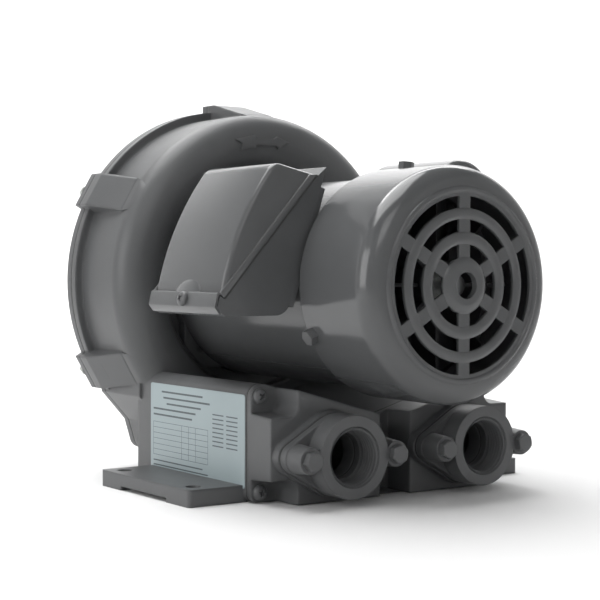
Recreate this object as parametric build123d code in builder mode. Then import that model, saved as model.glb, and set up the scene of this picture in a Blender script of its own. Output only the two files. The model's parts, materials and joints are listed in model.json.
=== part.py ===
from build123d import *
import math
import os

os.makedirs("parts", exist_ok=True)

# Side channel blower with a flange motor, in millimetres.
# The origin is the centre of the four foot holes, on the face that the feet stand on.
# +Z is up. The motor axis runs along Y: the fan end is at -Y, the blower end at +Y.
# A face outline drawn on front_plane is seen from the fan end; a negative extrusion runs to the rear.

# Mounting feet
foot_span_x = 228.0
foot_span_y = 80.0
foot_hole_radius = 4.5
foot_edge_x = 10.0
foot_edge_y = 11.5
foot_thickness = 9.8
foot_pad_length = 24.6
foot_relief = 2.5
foot_corner_radius = 2.0
foot_root = 4.0

# Silencer block under the motor
block_half_width = 88.0
block_front_y = -54.5
block_rear_y = 70.5
block_bottom_z = 0.5
block_centre_height = 45.5
block_top_slope = 0.28
block_edge_radius = 8.0
block_low_radius = 5.0
block_wall = 6.0
chamber_divider = 12.0
chamber_depth = 101.0
chamber_corner_radius = 13.0

# Blower casing
shaft_height = 124.0
channel_radius = 90.0
casing_radius = channel_radius + 19.4
casing_wall = 4.0
casing_crest_y = 50.5
crest_rounding = 15.0
ring_inner_radius = channel_radius - 20.0
web_front_y = 74.5
web_thickness = 5.5
split_y = 110.5
flange_thickness = 5.0
flange_radius = casing_radius + 5.1
stripper_half_angle = 25.0
passage_radius = 12.0
passage_height = 41.0
neck_rim_x = 89.6
neck_rim_z = 51.4
neck_shoulder_x = 72.6
neck_shoulder_z = 32.3
neck_foot_x = 66.6
neck_bottom_z = 12.5
neck_corner_radius = 8.0

# Lugs for the cover bolts
lug_count = 6
lug_width = 24.0
lug_radius = flange_radius + 4.2
lug_length = 42.0
lug_flat = 8.0
lug_front_step = 0.8
lug_bolt_circle = flange_radius - 0.1
cover_bolt_radius = 2.5
cover_bolt_across = 8.0
cover_bolt_head_height = 3.5
cover_bolt_depth = 16.0
washer_radius = 4.8
washer_thickness = 1.0

# Rear cover
seal_thickness = 0.8
cover_flange_thickness = 5.5
cover_bulge = 24.0
cover_hub_radius = 20.0
cover_rib_height = 5.0
cover_rib_width = 5.0
cover_rib_count = 6

# Impeller
impeller_clearance = 0.8
tip_clearance = 1.0
blade_count = 42
blade_thickness = 2.4
blade_rim = 3.0
scoop_rib = 3.0
impeller_hub_radius = 18.0
impeller_hub_length = 16.0
impeller_disc_thickness = 6.0

# Silencer front cover
gasket_thickness = 1.0
cover_plate_thickness = 4.0
cover_body_depth = 24.0
corner_pocket_width = 18.6
top_pocket_drop = 20.2
bottom_pocket_rise = 14.6
pocket_radius = 7.0
pocket_draft = 4.0
centre_recess_width = 22.8
pad_thickness = 6.0
cover_cavity_width = 40.0
cover_cavity_height = 34.0
cover_front_wall = 5.0
silencer_screw_radius = 2.5
silencer_screw_x = 82.4
silencer_screw_top_z = 60.8
silencer_screw_bottom_z = 6.4
silencer_centre_screw_z = 38.0
silencer_screw_head_radius = 4.5
silencer_screw_head_height = 3.4
silencer_screw_length = 16.0
pad_margin = 0.8

# Foam sleeves in the silencer chambers
foam_gap = 0.3
foam_bore_radius = 15.0
foam_bore_rise = 5.6

# Ports
port_half_span = 48.2
port_height = 28.4
port_length = 17.5
port_radius = 23.5
thread_radius = 16.6
thread_length = 13.0
port_bore_radius = 13.3
port_base_thickness = 5.0
port_bolt_span = 59.4
port_lobe_radius = 8.6
port_boss_draft = 4.0
port_web_height = 12.0
port_web_drop = 2.0
port_bolt_radius = 3.0
port_bolt_depth = 16.0
mouth_chamfer = 0.8

# Screw and bolt heads
round_head_taper = 12.0
m6_head_across = 10.0
m6_head_height = 4.0
bolt_clearance = 0.2

# Motor frame and end bells
frame_radius = 62.0
frame_wall = 2.5
frame_front_y = -76.5
frame_rear_y = 66.5
spigot_length = 5.0
fit_gap = 0.1
bell_web = 4.5
bell_rim_radius = 64.8
bell_rim_length = 14.0
bell_hub_radius = 22.0
square_flange_half = 56.0
square_flange_radius = 69.5
bell_screw_circle = 62.0
bell_screw_radius = 2.5
tie_bolt_radius = 2.2
tie_bolt_circle = 56.4
tie_bolt_head_radius = 3.0
tie_bolt_head_height = 3.0

# Bearings, shaft and rotor
bearing_radius = 17.5
bearing_bore_radius = 7.5
bearing_width = 11.0
bearing_ball_radius = 3.0
bearing_ball_count = 8
cage_width = 8.0
bearing_land = 1.8
ball_gap = 0.05
front_bearing_y = -86.5
rear_bearing_y = 57.0
spring_thickness = 1.5
running_gap = 0.05
shaft_front_y = -133.0
shaft_fan_radius = 6.0
shaft_body_radius = 8.6
core_seat_radius = 9.6
impeller_seat_radius = 7.0
shaft_thread_radius = 5.0
spacer_radius = 10.0
spacer_hole_gap = 1.0
seal_radius = 15.0
seal_width = 4.0
key_width = 5.0
key_length = 11.0
impeller_nut_across = 17.0
impeller_nut_height = 8.0
core_front_y = -44.5
core_length = 70.0
air_gap = 0.4
stator_bore_radius = 33.0
winding_overhang = 16.0
core_step = 1.5
end_ring_width = 7.0
end_ring_length = 6.0
spacer_stand_off = 2.0
shaft_end_reach = 1.0
clip_rim = 3.0
clip_groove_depth = 1.0

# Stator and its winding heads
stator_slot_count = 24
stator_slot_width = 3.4
stator_slot_depth = 13.0
stator_tooth_tip = 2.0
winding_thickness = 15.0
winding_corner = 4.0

# Cooling fan and cowl
cowl_radius = 67.0
cowl_wall = 2.0
cowl_front_y = -139.5
cowl_rounding = 12.0
slot_radii = ((49.5, 42.9), (36.7, 29.7), (22.9, 15.8))
spoke_width = 7.9
spoke_count = 6
bead_height = 1.1
rim_bead_inner = 51.5
hub_rise = 2.0
hub_hole_radius = 7.4
cowl_screw_y = -81.0
cowl_screw_radius = 2.5
cowl_screw_angles = (85.0, 205.0, 325.0)
cowl_screw_across = 8.0
cowl_screw_head_height = 4.6
fan_radius = 58.0
fan_blade_count = 8
fan_blade_thickness = 2.0
fan_length = 27.0
fan_disc_thickness = 2.5
fan_hub_radius = 14.0
fan_rear_y = -92.5
clip_thickness = 1.2
fan_blade_gap = 3.0

# Terminal box on the left of the motor
box_front_y = -74.0
box_length = 72.0
box_wall = 2.5
box_back_reach = 65.0
box_back_top = 38.7
box_corner_radius = 10.0
sheet = 1.2
cover_apex = (-82.0, 192.6)
cover_heel = (-116.8, 120.0)
cover_bulge_middle = (-101.5, 157.3)
seam_top = (-53.3, 186.3)
seam_bottom = (-115.4, 116.9)
cover_edge_radius = 5.0
cover_rim_height = 4.0
cover_rim_reach = 1.0
pad_top = 37.0
pad_low = -33.6
pad_saddle_half = 20.0
lid_gasket_thickness = 1.0
box_screw_radius = 2.0
box_angle = 162.0
grommet_radius = 6.0
grommet_y = -37.0
box_floor_z = 106.8
box_lip = [(-117.9, 118.1), (-119.7, 111.9), (-116.6, 108.1)]
box_head = (-46.5, 190.7)
strip_line = [(-116.4, 119.7), (-119.0, 119.3), (-120.8, 112.1), (-117.6, 108.1)]
box_screw_y = -37.0
lid_screw_length = 4.2
conduit_radius = 8.1
conduit_x = -99.0
conduit_y = -61.8
ground_screw_y = -49.2
lid_screw_head_radius = 4.2
small_head_height = 2.4
terminal_block_width = 14.0
terminal_block_height = 11.0
terminal_block_length = 36.0
terminal_pitch = 7.0
terminal_head_radius = 2.8
terminal_head_height = 2.0
terminal_screw_length = 5.0
block_head_radius = 3.6
ground_head_radius = 3.4
grommet_lip = 2.0
block_screw_ys = (-41.0, -13.0)

# Capacitor housing on the upper right of the motor
capacitor_x = 58.0
capacitor_z = 176.0
capacitor_cover_radius = 23.5
capacitor_cover_front_y = -74.5
capacitor_cover_length = 75.0
capacitor_cover_wall = 1.5
capacitor_radius = 17.0
capacitor_length = 58.0
capacitor_end_wall = 1.5
tab_length = 14.0
tab_radius = 31.0
clamp_thickness = 1.0
clamp_width = 12.0
capacitor_head_radius = 3.8
can_gap = 1.2

# Radial screws through the frame's wall: the angle from +X in degrees, and Y
box_screw_places = [(162.0, -60.0), (162.0, -14.0)]
capacitor_screw_places = [(17.0, -37.0), (67.0, -37.0)]

web_rear_y = web_front_y + web_thickness
cavity_radius = casing_radius - casing_wall
channel_inner_radius = ring_inner_radius + casing_wall
block_length = block_rear_y - block_front_y
silencer_cover_rear_y = block_front_y - gasket_thickness
silencer_cover_front_y = silencer_cover_rear_y - cover_body_depth
pad_front_y = silencer_cover_front_y - pad_thickness
port_rear_y = pad_front_y - gasket_thickness
port_front_y = port_rear_y - port_length
rear_cover_y = split_y + seal_thickness

motor_axis = Axis((0, 0, shaft_height), (0, 1, 0))


def front_plane(y, x=0.0, z=0.0):
    """A plane across the motor axis, seen from the fan end, with +Z up."""
    return Plane(origin=(x, y, z), x_dir=(1, 0, 0), z_dir=(0, -1, 0))


def axis_plane(y):
    """A front plane whose centre lies on the motor axis."""
    return front_plane(y, 0, shaft_height)


def section_plane(turn=0.0):
    """A half plane through the motor axis: local x is Y, local y is the radius.

    The turn is in degrees from straight up towards +X."""
    angle = math.radians(turn)
    return Plane(
        origin=(0, 0, shaft_height),
        x_dir=(0, 1, 0),
        z_dir=(math.cos(angle), 0, -math.sin(angle)),
    )


def radial_plane(angle, radius, y):
    """A plane that faces outwards from the motor axis; the angle is in degrees from +X."""
    turn = math.radians(angle)
    outward = (math.cos(turn), 0, math.sin(turn))
    centre = (radius * outward[0], y, shaft_height + radius * outward[2])
    return Plane(origin=centre, x_dir=(0, 1, 0), z_dir=outward)


def polar(radius, angle):
    """A point on a front plane, from a radius and an angle in degrees."""
    turn = math.radians(angle)
    return (radius * math.cos(turn), radius * math.sin(turn))


def block_outline(inset=0.0):
    """The corners of the silencer block's section, with its valley under the motor."""
    top = block_centre_height - inset
    reach = block_half_width - inset
    low = block_bottom_z + inset
    shoulder = top + block_top_slope * reach
    return [(-reach, low), (reach, low), (reach, shoulder), (0, top), (-reach, shoulder)]


def chamber_outline(side, inset):
    """The corners of one silencer chamber, beside the divider."""
    inner = chamber_divider / 2 + inset - block_wall
    outer = block_half_width - inset
    low = block_bottom_z + inset
    top = block_centre_height - inset
    return [
        (side * inner, low),
        (side * outer, low),
        (side * outer, top + block_top_slope * outer),
        (side * inner, top + block_top_slope * inner),
    ]


def channel_section(front_y, depth_y, grow, bore_y):
    """The profile of a half ring around the motor axis, in (Y, radius).

    The crest lies at front_y, the inner side ends at depth_y and the outer side turns
    straight after crest_rounding; grow is the wall between this profile and the outer one."""
    sign = 1 if depth_y > front_y else -1
    crest = front_y + sign * grow
    outer_reach = casing_radius - channel_radius - grow
    inner_reach = channel_radius - ring_inner_radius - grow
    outer_centre = front_y + sign * crest_rounding
    quarter = 90
    with BuildLine() as outline:
        EllipticalCenterArc(
            (depth_y, channel_radius), abs(depth_y - crest), inner_reach,
            start_angle=2 * quarter if sign > 0 else 3 * quarter, arc_size=quarter)
        EllipticalCenterArc(
            (outer_centre, channel_radius), abs(outer_centre - crest), outer_reach,
            start_angle=quarter if sign > 0 else 0, arc_size=quarter)
        Line((outer_centre, channel_radius + outer_reach), (bore_y, channel_radius + outer_reach))
        Line((bore_y, channel_radius + outer_reach), (bore_y, channel_radius - inner_reach))
        Line((bore_y, channel_radius - inner_reach), (depth_y, channel_radius - inner_reach))
    return outline


def screw_positions():
    """The six screws that hold the silencer cover, on the front plane."""
    points = [(0, silencer_centre_screw_z), (0, silencer_screw_bottom_z)]
    for side in (-1, 1):
        points.append((side * silencer_screw_x, silencer_screw_top_z))
        points.append((side * silencer_screw_x, silencer_screw_bottom_z))
    return points


port_centres = [(-port_half_span, port_height), (port_half_span, port_height)]
port_bolt_points = [
    (side * port_half_span + reach * port_bolt_span / 2, port_height)
    for side in (-1, 1)
    for reach in (-1, 1)
]
lug_angles = [90 + step * 360 / lug_count for step in range(lug_count)]
lug_points = [polar(lug_bolt_circle, angle) for angle in lug_angles]
flange_angles = (45, 135, 225, 315)
tie_angles = (0, 90, 180, 270)
bell_screw_points = [polar(bell_screw_circle, angle) for angle in flange_angles]
tie_points = [polar(tie_bolt_circle, angle) for angle in tie_angles]

# Outlines that several castings share, seen from the fan end
with BuildSketch() as block_face:
    with BuildLine():
        Polyline(*block_outline(), close=True)
    make_face()
    fillet(vertices().group_by(Axis.Y)[-1], block_edge_radius)
    fillet(vertices().group_by(Axis.Y)[0], block_low_radius)

with BuildSketch() as neck_face:
    with BuildLine():
        Polyline(
            (-neck_foot_x, neck_bottom_z), (neck_foot_x, neck_bottom_z),
            (neck_shoulder_x, neck_shoulder_z), (neck_rim_x, neck_rim_z),
            (channel_radius, shaft_height), (-channel_radius, shaft_height),
            (-neck_rim_x, neck_rim_z), (-neck_shoulder_x, neck_shoulder_z), close=True)
    make_face()
    fillet(vertices().group_by(Axis.Y)[0], neck_corner_radius)

# Blower casing: front half of the channel, silencer block and feet in one casting
foot_outer_x = foot_span_x / 2 + foot_edge_x
foot_length = foot_span_y + 2 * foot_edge_y
relief_length = foot_length - 2 * foot_pad_length

with BuildPart() as blower_casing:
    with BuildSketch(section_plane()) as shell_profile:
        add(make_face(channel_section(casing_crest_y, web_front_y, 0, split_y).line))
        with BuildLine():
            Polyline(
                (web_front_y, 0), (web_front_y, ring_inner_radius), (split_y, ring_inner_radius),
                (split_y, 0), close=True)
        make_face()
        with BuildLine():
            Polyline(
                (split_y - flange_thickness, channel_radius),
                (split_y - flange_thickness, flange_radius),
                (split_y, flange_radius), (split_y, channel_radius), close=True)
        make_face()
    revolve(axis=motor_axis)
    with BuildSketch(front_plane(block_front_y)):
        add(block_face.sketch)
    extrude(amount=-block_length)
    with BuildSketch(front_plane(casing_crest_y + crest_rounding)):
        add(neck_face.sketch)
    extrude(amount=casing_crest_y + crest_rounding - split_y)
    # Recess in front of the web, where the motor's rear flange sits
    with BuildSketch(axis_plane(web_front_y)):
        Circle(ring_inner_radius)
    extrude(amount=web_front_y - casing_crest_y - crest_rounding, mode=Mode.SUBTRACT)
    for lug_angle in lug_angles:
        with BuildSketch(section_plane(90 - lug_angle)):
            with BuildLine():
                Polyline(
                    (split_y, channel_radius), (split_y, lug_radius),
                    (split_y - lug_flat, lug_radius),
                    (split_y - lug_length, casing_radius + lug_front_step),
                    (split_y - lug_length, channel_radius), close=True)
            make_face()
        extrude(amount=lug_width / 2, both=True)
    for side in (-1, 1):
        with BuildSketch(Plane.XY):
            with Locations((side * (block_half_width + foot_outer_x - foot_root) / 2, 0)):
                RectangleRounded(
                    foot_outer_x - block_half_width + foot_root, foot_length, foot_corner_radius)
        extrude(amount=foot_thickness)
    # Relief between the foot pads
    with BuildSketch(Plane.XY):
        Rectangle(2 * foot_outer_x + foot_edge_x, relief_length)
    extrude(amount=foot_relief, mode=Mode.SUBTRACT)
    with BuildSketch(Plane.XY):
        with GridLocations(foot_span_x, foot_span_y, 2, 2):
            Circle(foot_hole_radius)
    extrude(amount=foot_thickness, mode=Mode.SUBTRACT)
    # Impeller chamber and front half of the side channel, which the stripper closes at the bottom
    with BuildSketch(axis_plane(web_rear_y)):
        Circle(cavity_radius)
    extrude(amount=web_rear_y - split_y, mode=Mode.SUBTRACT)
    with BuildSketch(section_plane(180 + stripper_half_angle)):
        add(make_face(channel_section(casing_crest_y, web_front_y, casing_wall, web_rear_y).line))
    revolve(axis=motor_axis, revolution_arc=360 - 2 * stripper_half_angle, mode=Mode.SUBTRACT)
    # Silencer chambers and the passages from them into the channel
    for side in (-1, 1):
        with BuildSketch(front_plane(block_front_y)):
            with BuildLine():
                Polyline(*chamber_outline(side, block_wall), close=True)
            make_face()
            fillet(vertices(), chamber_corner_radius)
        extrude(amount=-chamber_depth, mode=Mode.SUBTRACT)
    with BuildSketch(front_plane(block_front_y + chamber_depth)):
        with Locations((-port_half_span, passage_height), (port_half_span, passage_height)):
            Circle(passage_radius)
    extrude(amount=block_front_y + chamber_depth - web_rear_y, mode=Mode.SUBTRACT)
    # Shaft opening with the seal's pocket
    with BuildSketch(axis_plane(web_front_y)):
        Circle(spacer_radius + spacer_hole_gap)
    extrude(amount=-web_thickness, mode=Mode.SUBTRACT)
    with BuildSketch(axis_plane(web_rear_y)):
        Circle(seal_radius)
    extrude(amount=seal_width, mode=Mode.SUBTRACT)
    # Holes for the screws and bolts that enter the casting
    with BuildSketch(axis_plane(split_y)):
        with Locations(*lug_points):
            Circle(cover_bolt_radius + bolt_clearance)
    extrude(amount=cover_bolt_depth, mode=Mode.SUBTRACT)
    with BuildSketch(front_plane(block_front_y)):
        with Locations(*screw_positions()):
            Circle(silencer_screw_radius + bolt_clearance)
    extrude(amount=-silencer_screw_length, mode=Mode.SUBTRACT)
    with BuildSketch(axis_plane(web_rear_y)):
        with Locations(*bell_screw_points):
            Circle(bell_screw_radius + bolt_clearance)
    extrude(amount=web_thickness, mode=Mode.SUBTRACT)
blower_casing.part.label = "blower_casing"
export_step(blower_casing.part, "parts/blower_casing.step")


def draw_flange():
    """The outline of the joint between casing and cover, on a plane centred on the axis."""
    Circle(flange_radius)
    for angle in lug_angles:
        with Locations(Rotation(0, 0, angle)):
            with Locations(((channel_radius + lug_radius) / 2, 0)):
                Rectangle(lug_radius - channel_radius, lug_width)
    with Locations((0, -shaft_height)):
        add(neck_face.sketch)


def add_hex_bolt(plane, across, head_height, radius, length):
    """A hex head standing on the plane, with its shank below it."""
    with BuildSketch(plane) as head:
        RegularPolygon(across / 2, 6, major_radius=False)
    extrude(head.sketch, amount=head_height)
    with BuildSketch(plane) as shank:
        Circle(radius)
    extrude(shank.sketch, amount=-length)


def add_round_screw(plane, head_radius, head_height, radius, length):
    """A round head standing on the plane, with its shank below it."""
    with BuildSketch(plane) as head:
        Circle(head_radius)
    extrude(head.sketch, amount=head_height, taper=round_head_taper)
    with BuildSketch(plane) as shank:
        Circle(radius)
    extrude(shank.sketch, amount=-length)


# Rear cover: the other half of the channel, with a flat centre and radial ribs
rear_cover_crest_y = rear_cover_y + cover_bulge
cover_plate_rear_y = rear_cover_y + cover_flange_thickness
with BuildPart() as rear_cover:
    with BuildSketch(axis_plane(rear_cover_y)):
        draw_flange()
    extrude(amount=-cover_flange_thickness)
    with BuildSketch(section_plane()):
        add(make_face(channel_section(rear_cover_crest_y, cover_plate_rear_y, 0, rear_cover_y).line))
    revolve(axis=motor_axis)
    with BuildSketch(axis_plane(cover_plate_rear_y)):
        Circle(cover_hub_radius)
    extrude(amount=-cover_rib_height)
    with BuildSketch(axis_plane(cover_plate_rear_y)):
        with PolarLocations(0, cover_rib_count, start_angle=30):
            with Locations(((cover_hub_radius + ring_inner_radius) / 2, 0)):
                Rectangle(ring_inner_radius - cover_hub_radius + 2 * casing_wall, cover_rib_width)
    extrude(amount=-cover_rib_height)
    with BuildSketch(section_plane(180 + stripper_half_angle)):
        add(make_face(
            channel_section(rear_cover_crest_y, cover_plate_rear_y, casing_wall, rear_cover_y).line))
    revolve(axis=motor_axis, revolution_arc=360 - 2 * stripper_half_angle, mode=Mode.SUBTRACT)
    with BuildSketch(axis_plane(rear_cover_y)):
        with Locations(*lug_points):
            Circle(cover_bolt_radius + bolt_clearance)
    extrude(amount=-cover_flange_thickness, mode=Mode.SUBTRACT)
rear_cover.part.label = "rear_cover"
export_step(rear_cover.part, "parts/rear_cover.step")

with BuildPart() as casing_seal:
    with BuildSketch(axis_plane(split_y)):
        draw_flange()
        Circle(cavity_radius, mode=Mode.SUBTRACT)
        with Locations(*lug_points):
            Circle(cover_bolt_radius + bolt_clearance, mode=Mode.SUBTRACT)
    extrude(amount=-seal_thickness)
casing_seal.part.label = "casing_seal"
export_step(casing_seal.part, "parts/casing_seal.step")

cover_seat_y = cover_plate_rear_y + washer_thickness
with BuildPart() as cover_bolts:
    for point in lug_points:
        seat = Plane(
            origin=(point[0], cover_seat_y, shaft_height + point[1]),
            x_dir=(1, 0, 0), z_dir=(0, 1, 0))
        add_hex_bolt(
            seat, cover_bolt_across, cover_bolt_head_height, cover_bolt_radius,
            cover_seat_y - split_y + cover_bolt_depth - bolt_clearance)
cover_bolts.part.label = "cover_bolts"
export_step(cover_bolts.part, "parts/cover_bolts.step")

with BuildPart() as cover_bolt_washers:
    with BuildSketch(axis_plane(cover_plate_rear_y)):
        with Locations(*lug_points):
            Circle(washer_radius)
            Circle(cover_bolt_radius + bolt_clearance, mode=Mode.SUBTRACT)
    extrude(amount=-washer_thickness)
cover_bolt_washers.part.label = "cover_bolt_washers"
export_step(cover_bolt_washers.part, "parts/cover_bolt_washers.step")

# Silencer cover with a raised pad for each port
shoulder_z = block_centre_height + block_top_slope * block_half_width
pocket_depth = cover_body_depth - cover_plate_thickness
with BuildPart() as silencer_cover:
    with BuildSketch(front_plane(silencer_cover_rear_y)):
        add(block_face.sketch)
    extrude(amount=cover_body_depth)
    # Pockets for the corner screws and the recess between the ports
    with BuildSketch(front_plane(silencer_cover_front_y)):
        for side in (-1, 1):
            with Locations((side * block_half_width, shoulder_z)):
                RectangleRounded(2 * corner_pocket_width, 2 * top_pocket_drop, pocket_radius)
            with Locations((side * block_half_width, block_bottom_z)):
                RectangleRounded(2 * corner_pocket_width, 2 * bottom_pocket_rise, pocket_radius)
        with Locations((0, shaft_height / 2)):
            Rectangle(centre_recess_width, shaft_height)
    extrude(amount=-pocket_depth, taper=pocket_draft, mode=Mode.SUBTRACT)
    for centre in port_centres:
        with BuildSketch(front_plane(silencer_cover_front_y)):
            with Locations(centre):
                Circle(port_radius + pad_margin)
                with Locations((-port_bolt_span / 2, 0), (port_bolt_span / 2, 0)):
                    Circle(port_lobe_radius + pad_margin)
            make_hull()
        extrude(amount=pad_thickness)
    with BuildSketch(front_plane(silencer_cover_rear_y)):
        with Locations(*port_centres):
            RectangleRounded(cover_cavity_width, cover_cavity_height, chamber_corner_radius)
    extrude(amount=cover_body_depth - cover_front_wall, mode=Mode.SUBTRACT)
    with BuildSketch(front_plane(pad_front_y)):
        with Locations(*port_centres):
            Circle(port_bore_radius)
    extrude(amount=-pad_thickness - cover_front_wall, mode=Mode.SUBTRACT)
    with BuildSketch(front_plane(pad_front_y)):
        with Locations(*port_bolt_points):
            Circle(port_bolt_radius + bolt_clearance)
    extrude(amount=-port_bolt_depth, mode=Mode.SUBTRACT)
    with BuildSketch(front_plane(silencer_cover_rear_y)):
        with Locations(*screw_positions()):
            Circle(silencer_screw_radius + bolt_clearance)
    extrude(amount=cover_plate_thickness, mode=Mode.SUBTRACT)
silencer_cover.part.label = "silencer_cover"
export_step(silencer_cover.part, "parts/silencer_cover.step")

with BuildPart() as silencer_gasket:
    with BuildSketch(front_plane(block_front_y)):
        add(block_face.sketch)
    extrude(amount=gasket_thickness)
    for side in (-1, 1):
        with BuildSketch(front_plane(block_front_y)):
            with BuildLine():
                Polyline(*chamber_outline(side, block_wall), close=True)
            make_face()
            fillet(vertices(), chamber_corner_radius)
        extrude(amount=gasket_thickness, mode=Mode.SUBTRACT)
    with BuildSketch(front_plane(block_front_y)):
        with Locations(*screw_positions()):
            Circle(silencer_screw_radius + bolt_clearance)
    extrude(amount=gasket_thickness, mode=Mode.SUBTRACT)
silencer_gasket.part.label = "silencer_gasket"
export_step(silencer_gasket.part, "parts/silencer_gasket.step")

plate_front_y = silencer_cover_rear_y - cover_plate_thickness
with BuildPart() as silencer_screws:
    for point in screw_positions():
        add_round_screw(
            front_plane(plate_front_y, point[0], point[1]), silencer_screw_head_radius,
            silencer_screw_head_height, silencer_screw_radius,
            cover_plate_thickness + gasket_thickness + silencer_screw_length - bolt_clearance)
silencer_screws.part.label = "silencer_screws"
export_step(silencer_screws.part, "parts/silencer_screws.step")

# Foam sleeves that line the two silencer chambers
foam_sleeves = []
for side in (-1, 1):
    with BuildPart() as foam:
        with BuildSketch(front_plane(block_front_y + foam_gap)):
            with BuildLine():
                Polyline(*chamber_outline(side, block_wall + foam_gap), close=True)
            make_face()
            fillet(vertices(), chamber_corner_radius)
            with Locations(
                    (side * port_half_span, port_height),
                    (side * port_half_span, port_height + foam_bore_rise)):
                Circle(foam_bore_radius, mode=Mode.SUBTRACT)
        extrude(amount=2 * foam_gap - chamber_depth)
    foam_sleeves.append(foam)
inlet_foam, outlet_foam = foam_sleeves
inlet_foam.part.label = "inlet_foam"
export_step(inlet_foam.part, "parts/inlet_foam.step")
outlet_foam.part.label = "outlet_foam"
export_step(outlet_foam.part, "parts/outlet_foam.step")

# Port flanges, their gaskets and bolts
port_pieces = []
for centre in port_centres:
    bolt_pair = [(centre[0] + reach * port_bolt_span / 2, centre[1]) for reach in (-1, 1)]
    with BuildPart() as port_flange:
        with BuildSketch(front_plane(port_rear_y)):
            with Locations(centre):
                Circle(port_radius)
            with Locations(*bolt_pair):
                Circle(port_lobe_radius)
            make_hull()
        extrude(amount=port_base_thickness)
        with BuildSketch(front_plane(port_rear_y)):
            with Locations(centre):
                Circle(port_radius)
        extrude(amount=port_length)
        with BuildSketch(front_plane(port_rear_y)):
            with Locations(centre):
                Rectangle(port_bolt_span, port_web_height)
        extrude(amount=port_length - port_web_drop)
        with BuildSketch(front_plane(port_rear_y)):
            with Locations(*bolt_pair):
                Circle(port_lobe_radius)
        extrude(amount=port_length, taper=port_boss_draft)
        with BuildSketch(front_plane(port_rear_y)):
            with Locations(centre):
                Circle(port_bore_radius)
            with Locations(*bolt_pair):
                Circle(port_bolt_radius + bolt_clearance)
        extrude(amount=port_length, mode=Mode.SUBTRACT)
        with BuildSketch(front_plane(port_front_y)):
            with Locations(centre):
                Circle(thread_radius)
        extrude(amount=-thread_length, mode=Mode.SUBTRACT)
        mouth = edges().filter_by(GeomType.CIRCLE).group_by(Axis.Y)[0]
        chamfer(mouth.filter_by(lambda edge: abs(edge.radius - thread_radius) < fit_gap), mouth_chamfer)
    with BuildPart() as port_gasket:
        with BuildSketch(front_plane(pad_front_y)):
            with Locations(centre):
                Circle(port_radius)
            with Locations(*bolt_pair):
                Circle(port_lobe_radius)
            make_hull()
            with Locations(centre):
                Circle(port_bore_radius, mode=Mode.SUBTRACT)
            with Locations(*bolt_pair):
                Circle(port_bolt_radius + bolt_clearance, mode=Mode.SUBTRACT)
        extrude(amount=gasket_thickness)
    port_pieces.append((port_flange, port_gasket))
inlet_port_flange, inlet_port_gasket = port_pieces[0]
outlet_port_flange, outlet_port_gasket = port_pieces[1]
inlet_port_flange.part.label = "inlet_port_flange"
export_step(inlet_port_flange.part, "parts/inlet_port_flange.step")
outlet_port_flange.part.label = "outlet_port_flange"
export_step(outlet_port_flange.part, "parts/outlet_port_flange.step")
inlet_port_gasket.part.label = "inlet_port_gasket"
export_step(inlet_port_gasket.part, "parts/inlet_port_gasket.step")
outlet_port_gasket.part.label = "outlet_port_gasket"
export_step(outlet_port_gasket.part, "parts/outlet_port_gasket.step")

with BuildPart() as port_bolts:
    for point in port_bolt_points:
        add_hex_bolt(
            front_plane(port_front_y, point[0], point[1]), m6_head_across, m6_head_height,
            port_bolt_radius,
            port_length + gasket_thickness + port_bolt_depth - bolt_clearance)
port_bolts.part.label = "port_bolts"
export_step(port_bolts.part, "parts/port_bolts.step")


# Motor frame, a steel tube between the two end bells
frame_bore = frame_radius - frame_wall
with BuildPart() as motor_frame:
    with BuildSketch(axis_plane(frame_front_y)):
        Circle(frame_radius)
        Circle(frame_bore, mode=Mode.SUBTRACT)
    extrude(amount=frame_front_y - frame_rear_y)
    with BuildSketch(radial_plane(box_angle, frame_bore - frame_wall, grommet_y)):
        Circle(grommet_radius)
    extrude(amount=3 * frame_wall, mode=Mode.SUBTRACT)
    for angle, y in box_screw_places + capacitor_screw_places:
        with BuildSketch(radial_plane(angle, frame_bore - frame_wall, y)) as hole:
            Circle(box_screw_radius + fit_gap)
        extrude(hole.sketch, amount=3 * frame_wall, mode=Mode.SUBTRACT)
motor_frame.part.label = "motor_frame"
export_step(motor_frame.part, "parts/motor_frame.step")

spigot_radius = frame_bore - fit_gap
bell_front_y = frame_front_y - bell_rim_length
bearing_pocket_radius = bearing_radius + running_gap
front_pocket_rear_y = front_bearing_y + bearing_width + fit_gap
with BuildPart() as front_end_bell:
    with BuildSketch(section_plane()):
        with BuildLine():
            Polyline(
                (bell_front_y, shaft_fan_radius + spacer_hole_gap),
                (bell_front_y, bell_hub_radius),
                (frame_front_y - 2 * bell_web, bell_hub_radius),
                (frame_front_y - 2 * bell_web, spigot_radius),
                (bell_front_y, spigot_radius),
                (bell_front_y, bell_rim_radius),
                (frame_front_y, bell_rim_radius),
                (frame_front_y, spigot_radius),
                (frame_front_y + spigot_length, spigot_radius),
                (frame_front_y + spigot_length, spigot_radius - bell_web),
                (frame_front_y - bell_web, spigot_radius - 2 * bell_web),
                (frame_front_y - bell_web, bell_hub_radius),
                (front_pocket_rear_y, bell_hub_radius),
                (front_pocket_rear_y, bearing_pocket_radius),
                (front_bearing_y - spring_thickness, bearing_pocket_radius),
                (front_bearing_y - spring_thickness, shaft_fan_radius + spacer_hole_gap),
                close=True)
        make_face()
    revolve(axis=motor_axis)
    with BuildSketch(axis_plane(bell_front_y)):
        with Locations(*tie_points):
            Circle(tie_bolt_radius + bolt_clearance)
    extrude(amount=-bell_rim_length - 2 * spigot_length, mode=Mode.SUBTRACT)
    for angle in cowl_screw_angles:
        with BuildSketch(radial_plane(angle, bell_rim_radius, cowl_screw_y)) as hole:
            Circle(cowl_screw_radius + fit_gap)
        extrude(hole.sketch, amount=fit_gap - bell_web, mode=Mode.SUBTRACT)
front_end_bell.part.label = "front_end_bell"
export_step(front_end_bell.part, "parts/front_end_bell.step")

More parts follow.
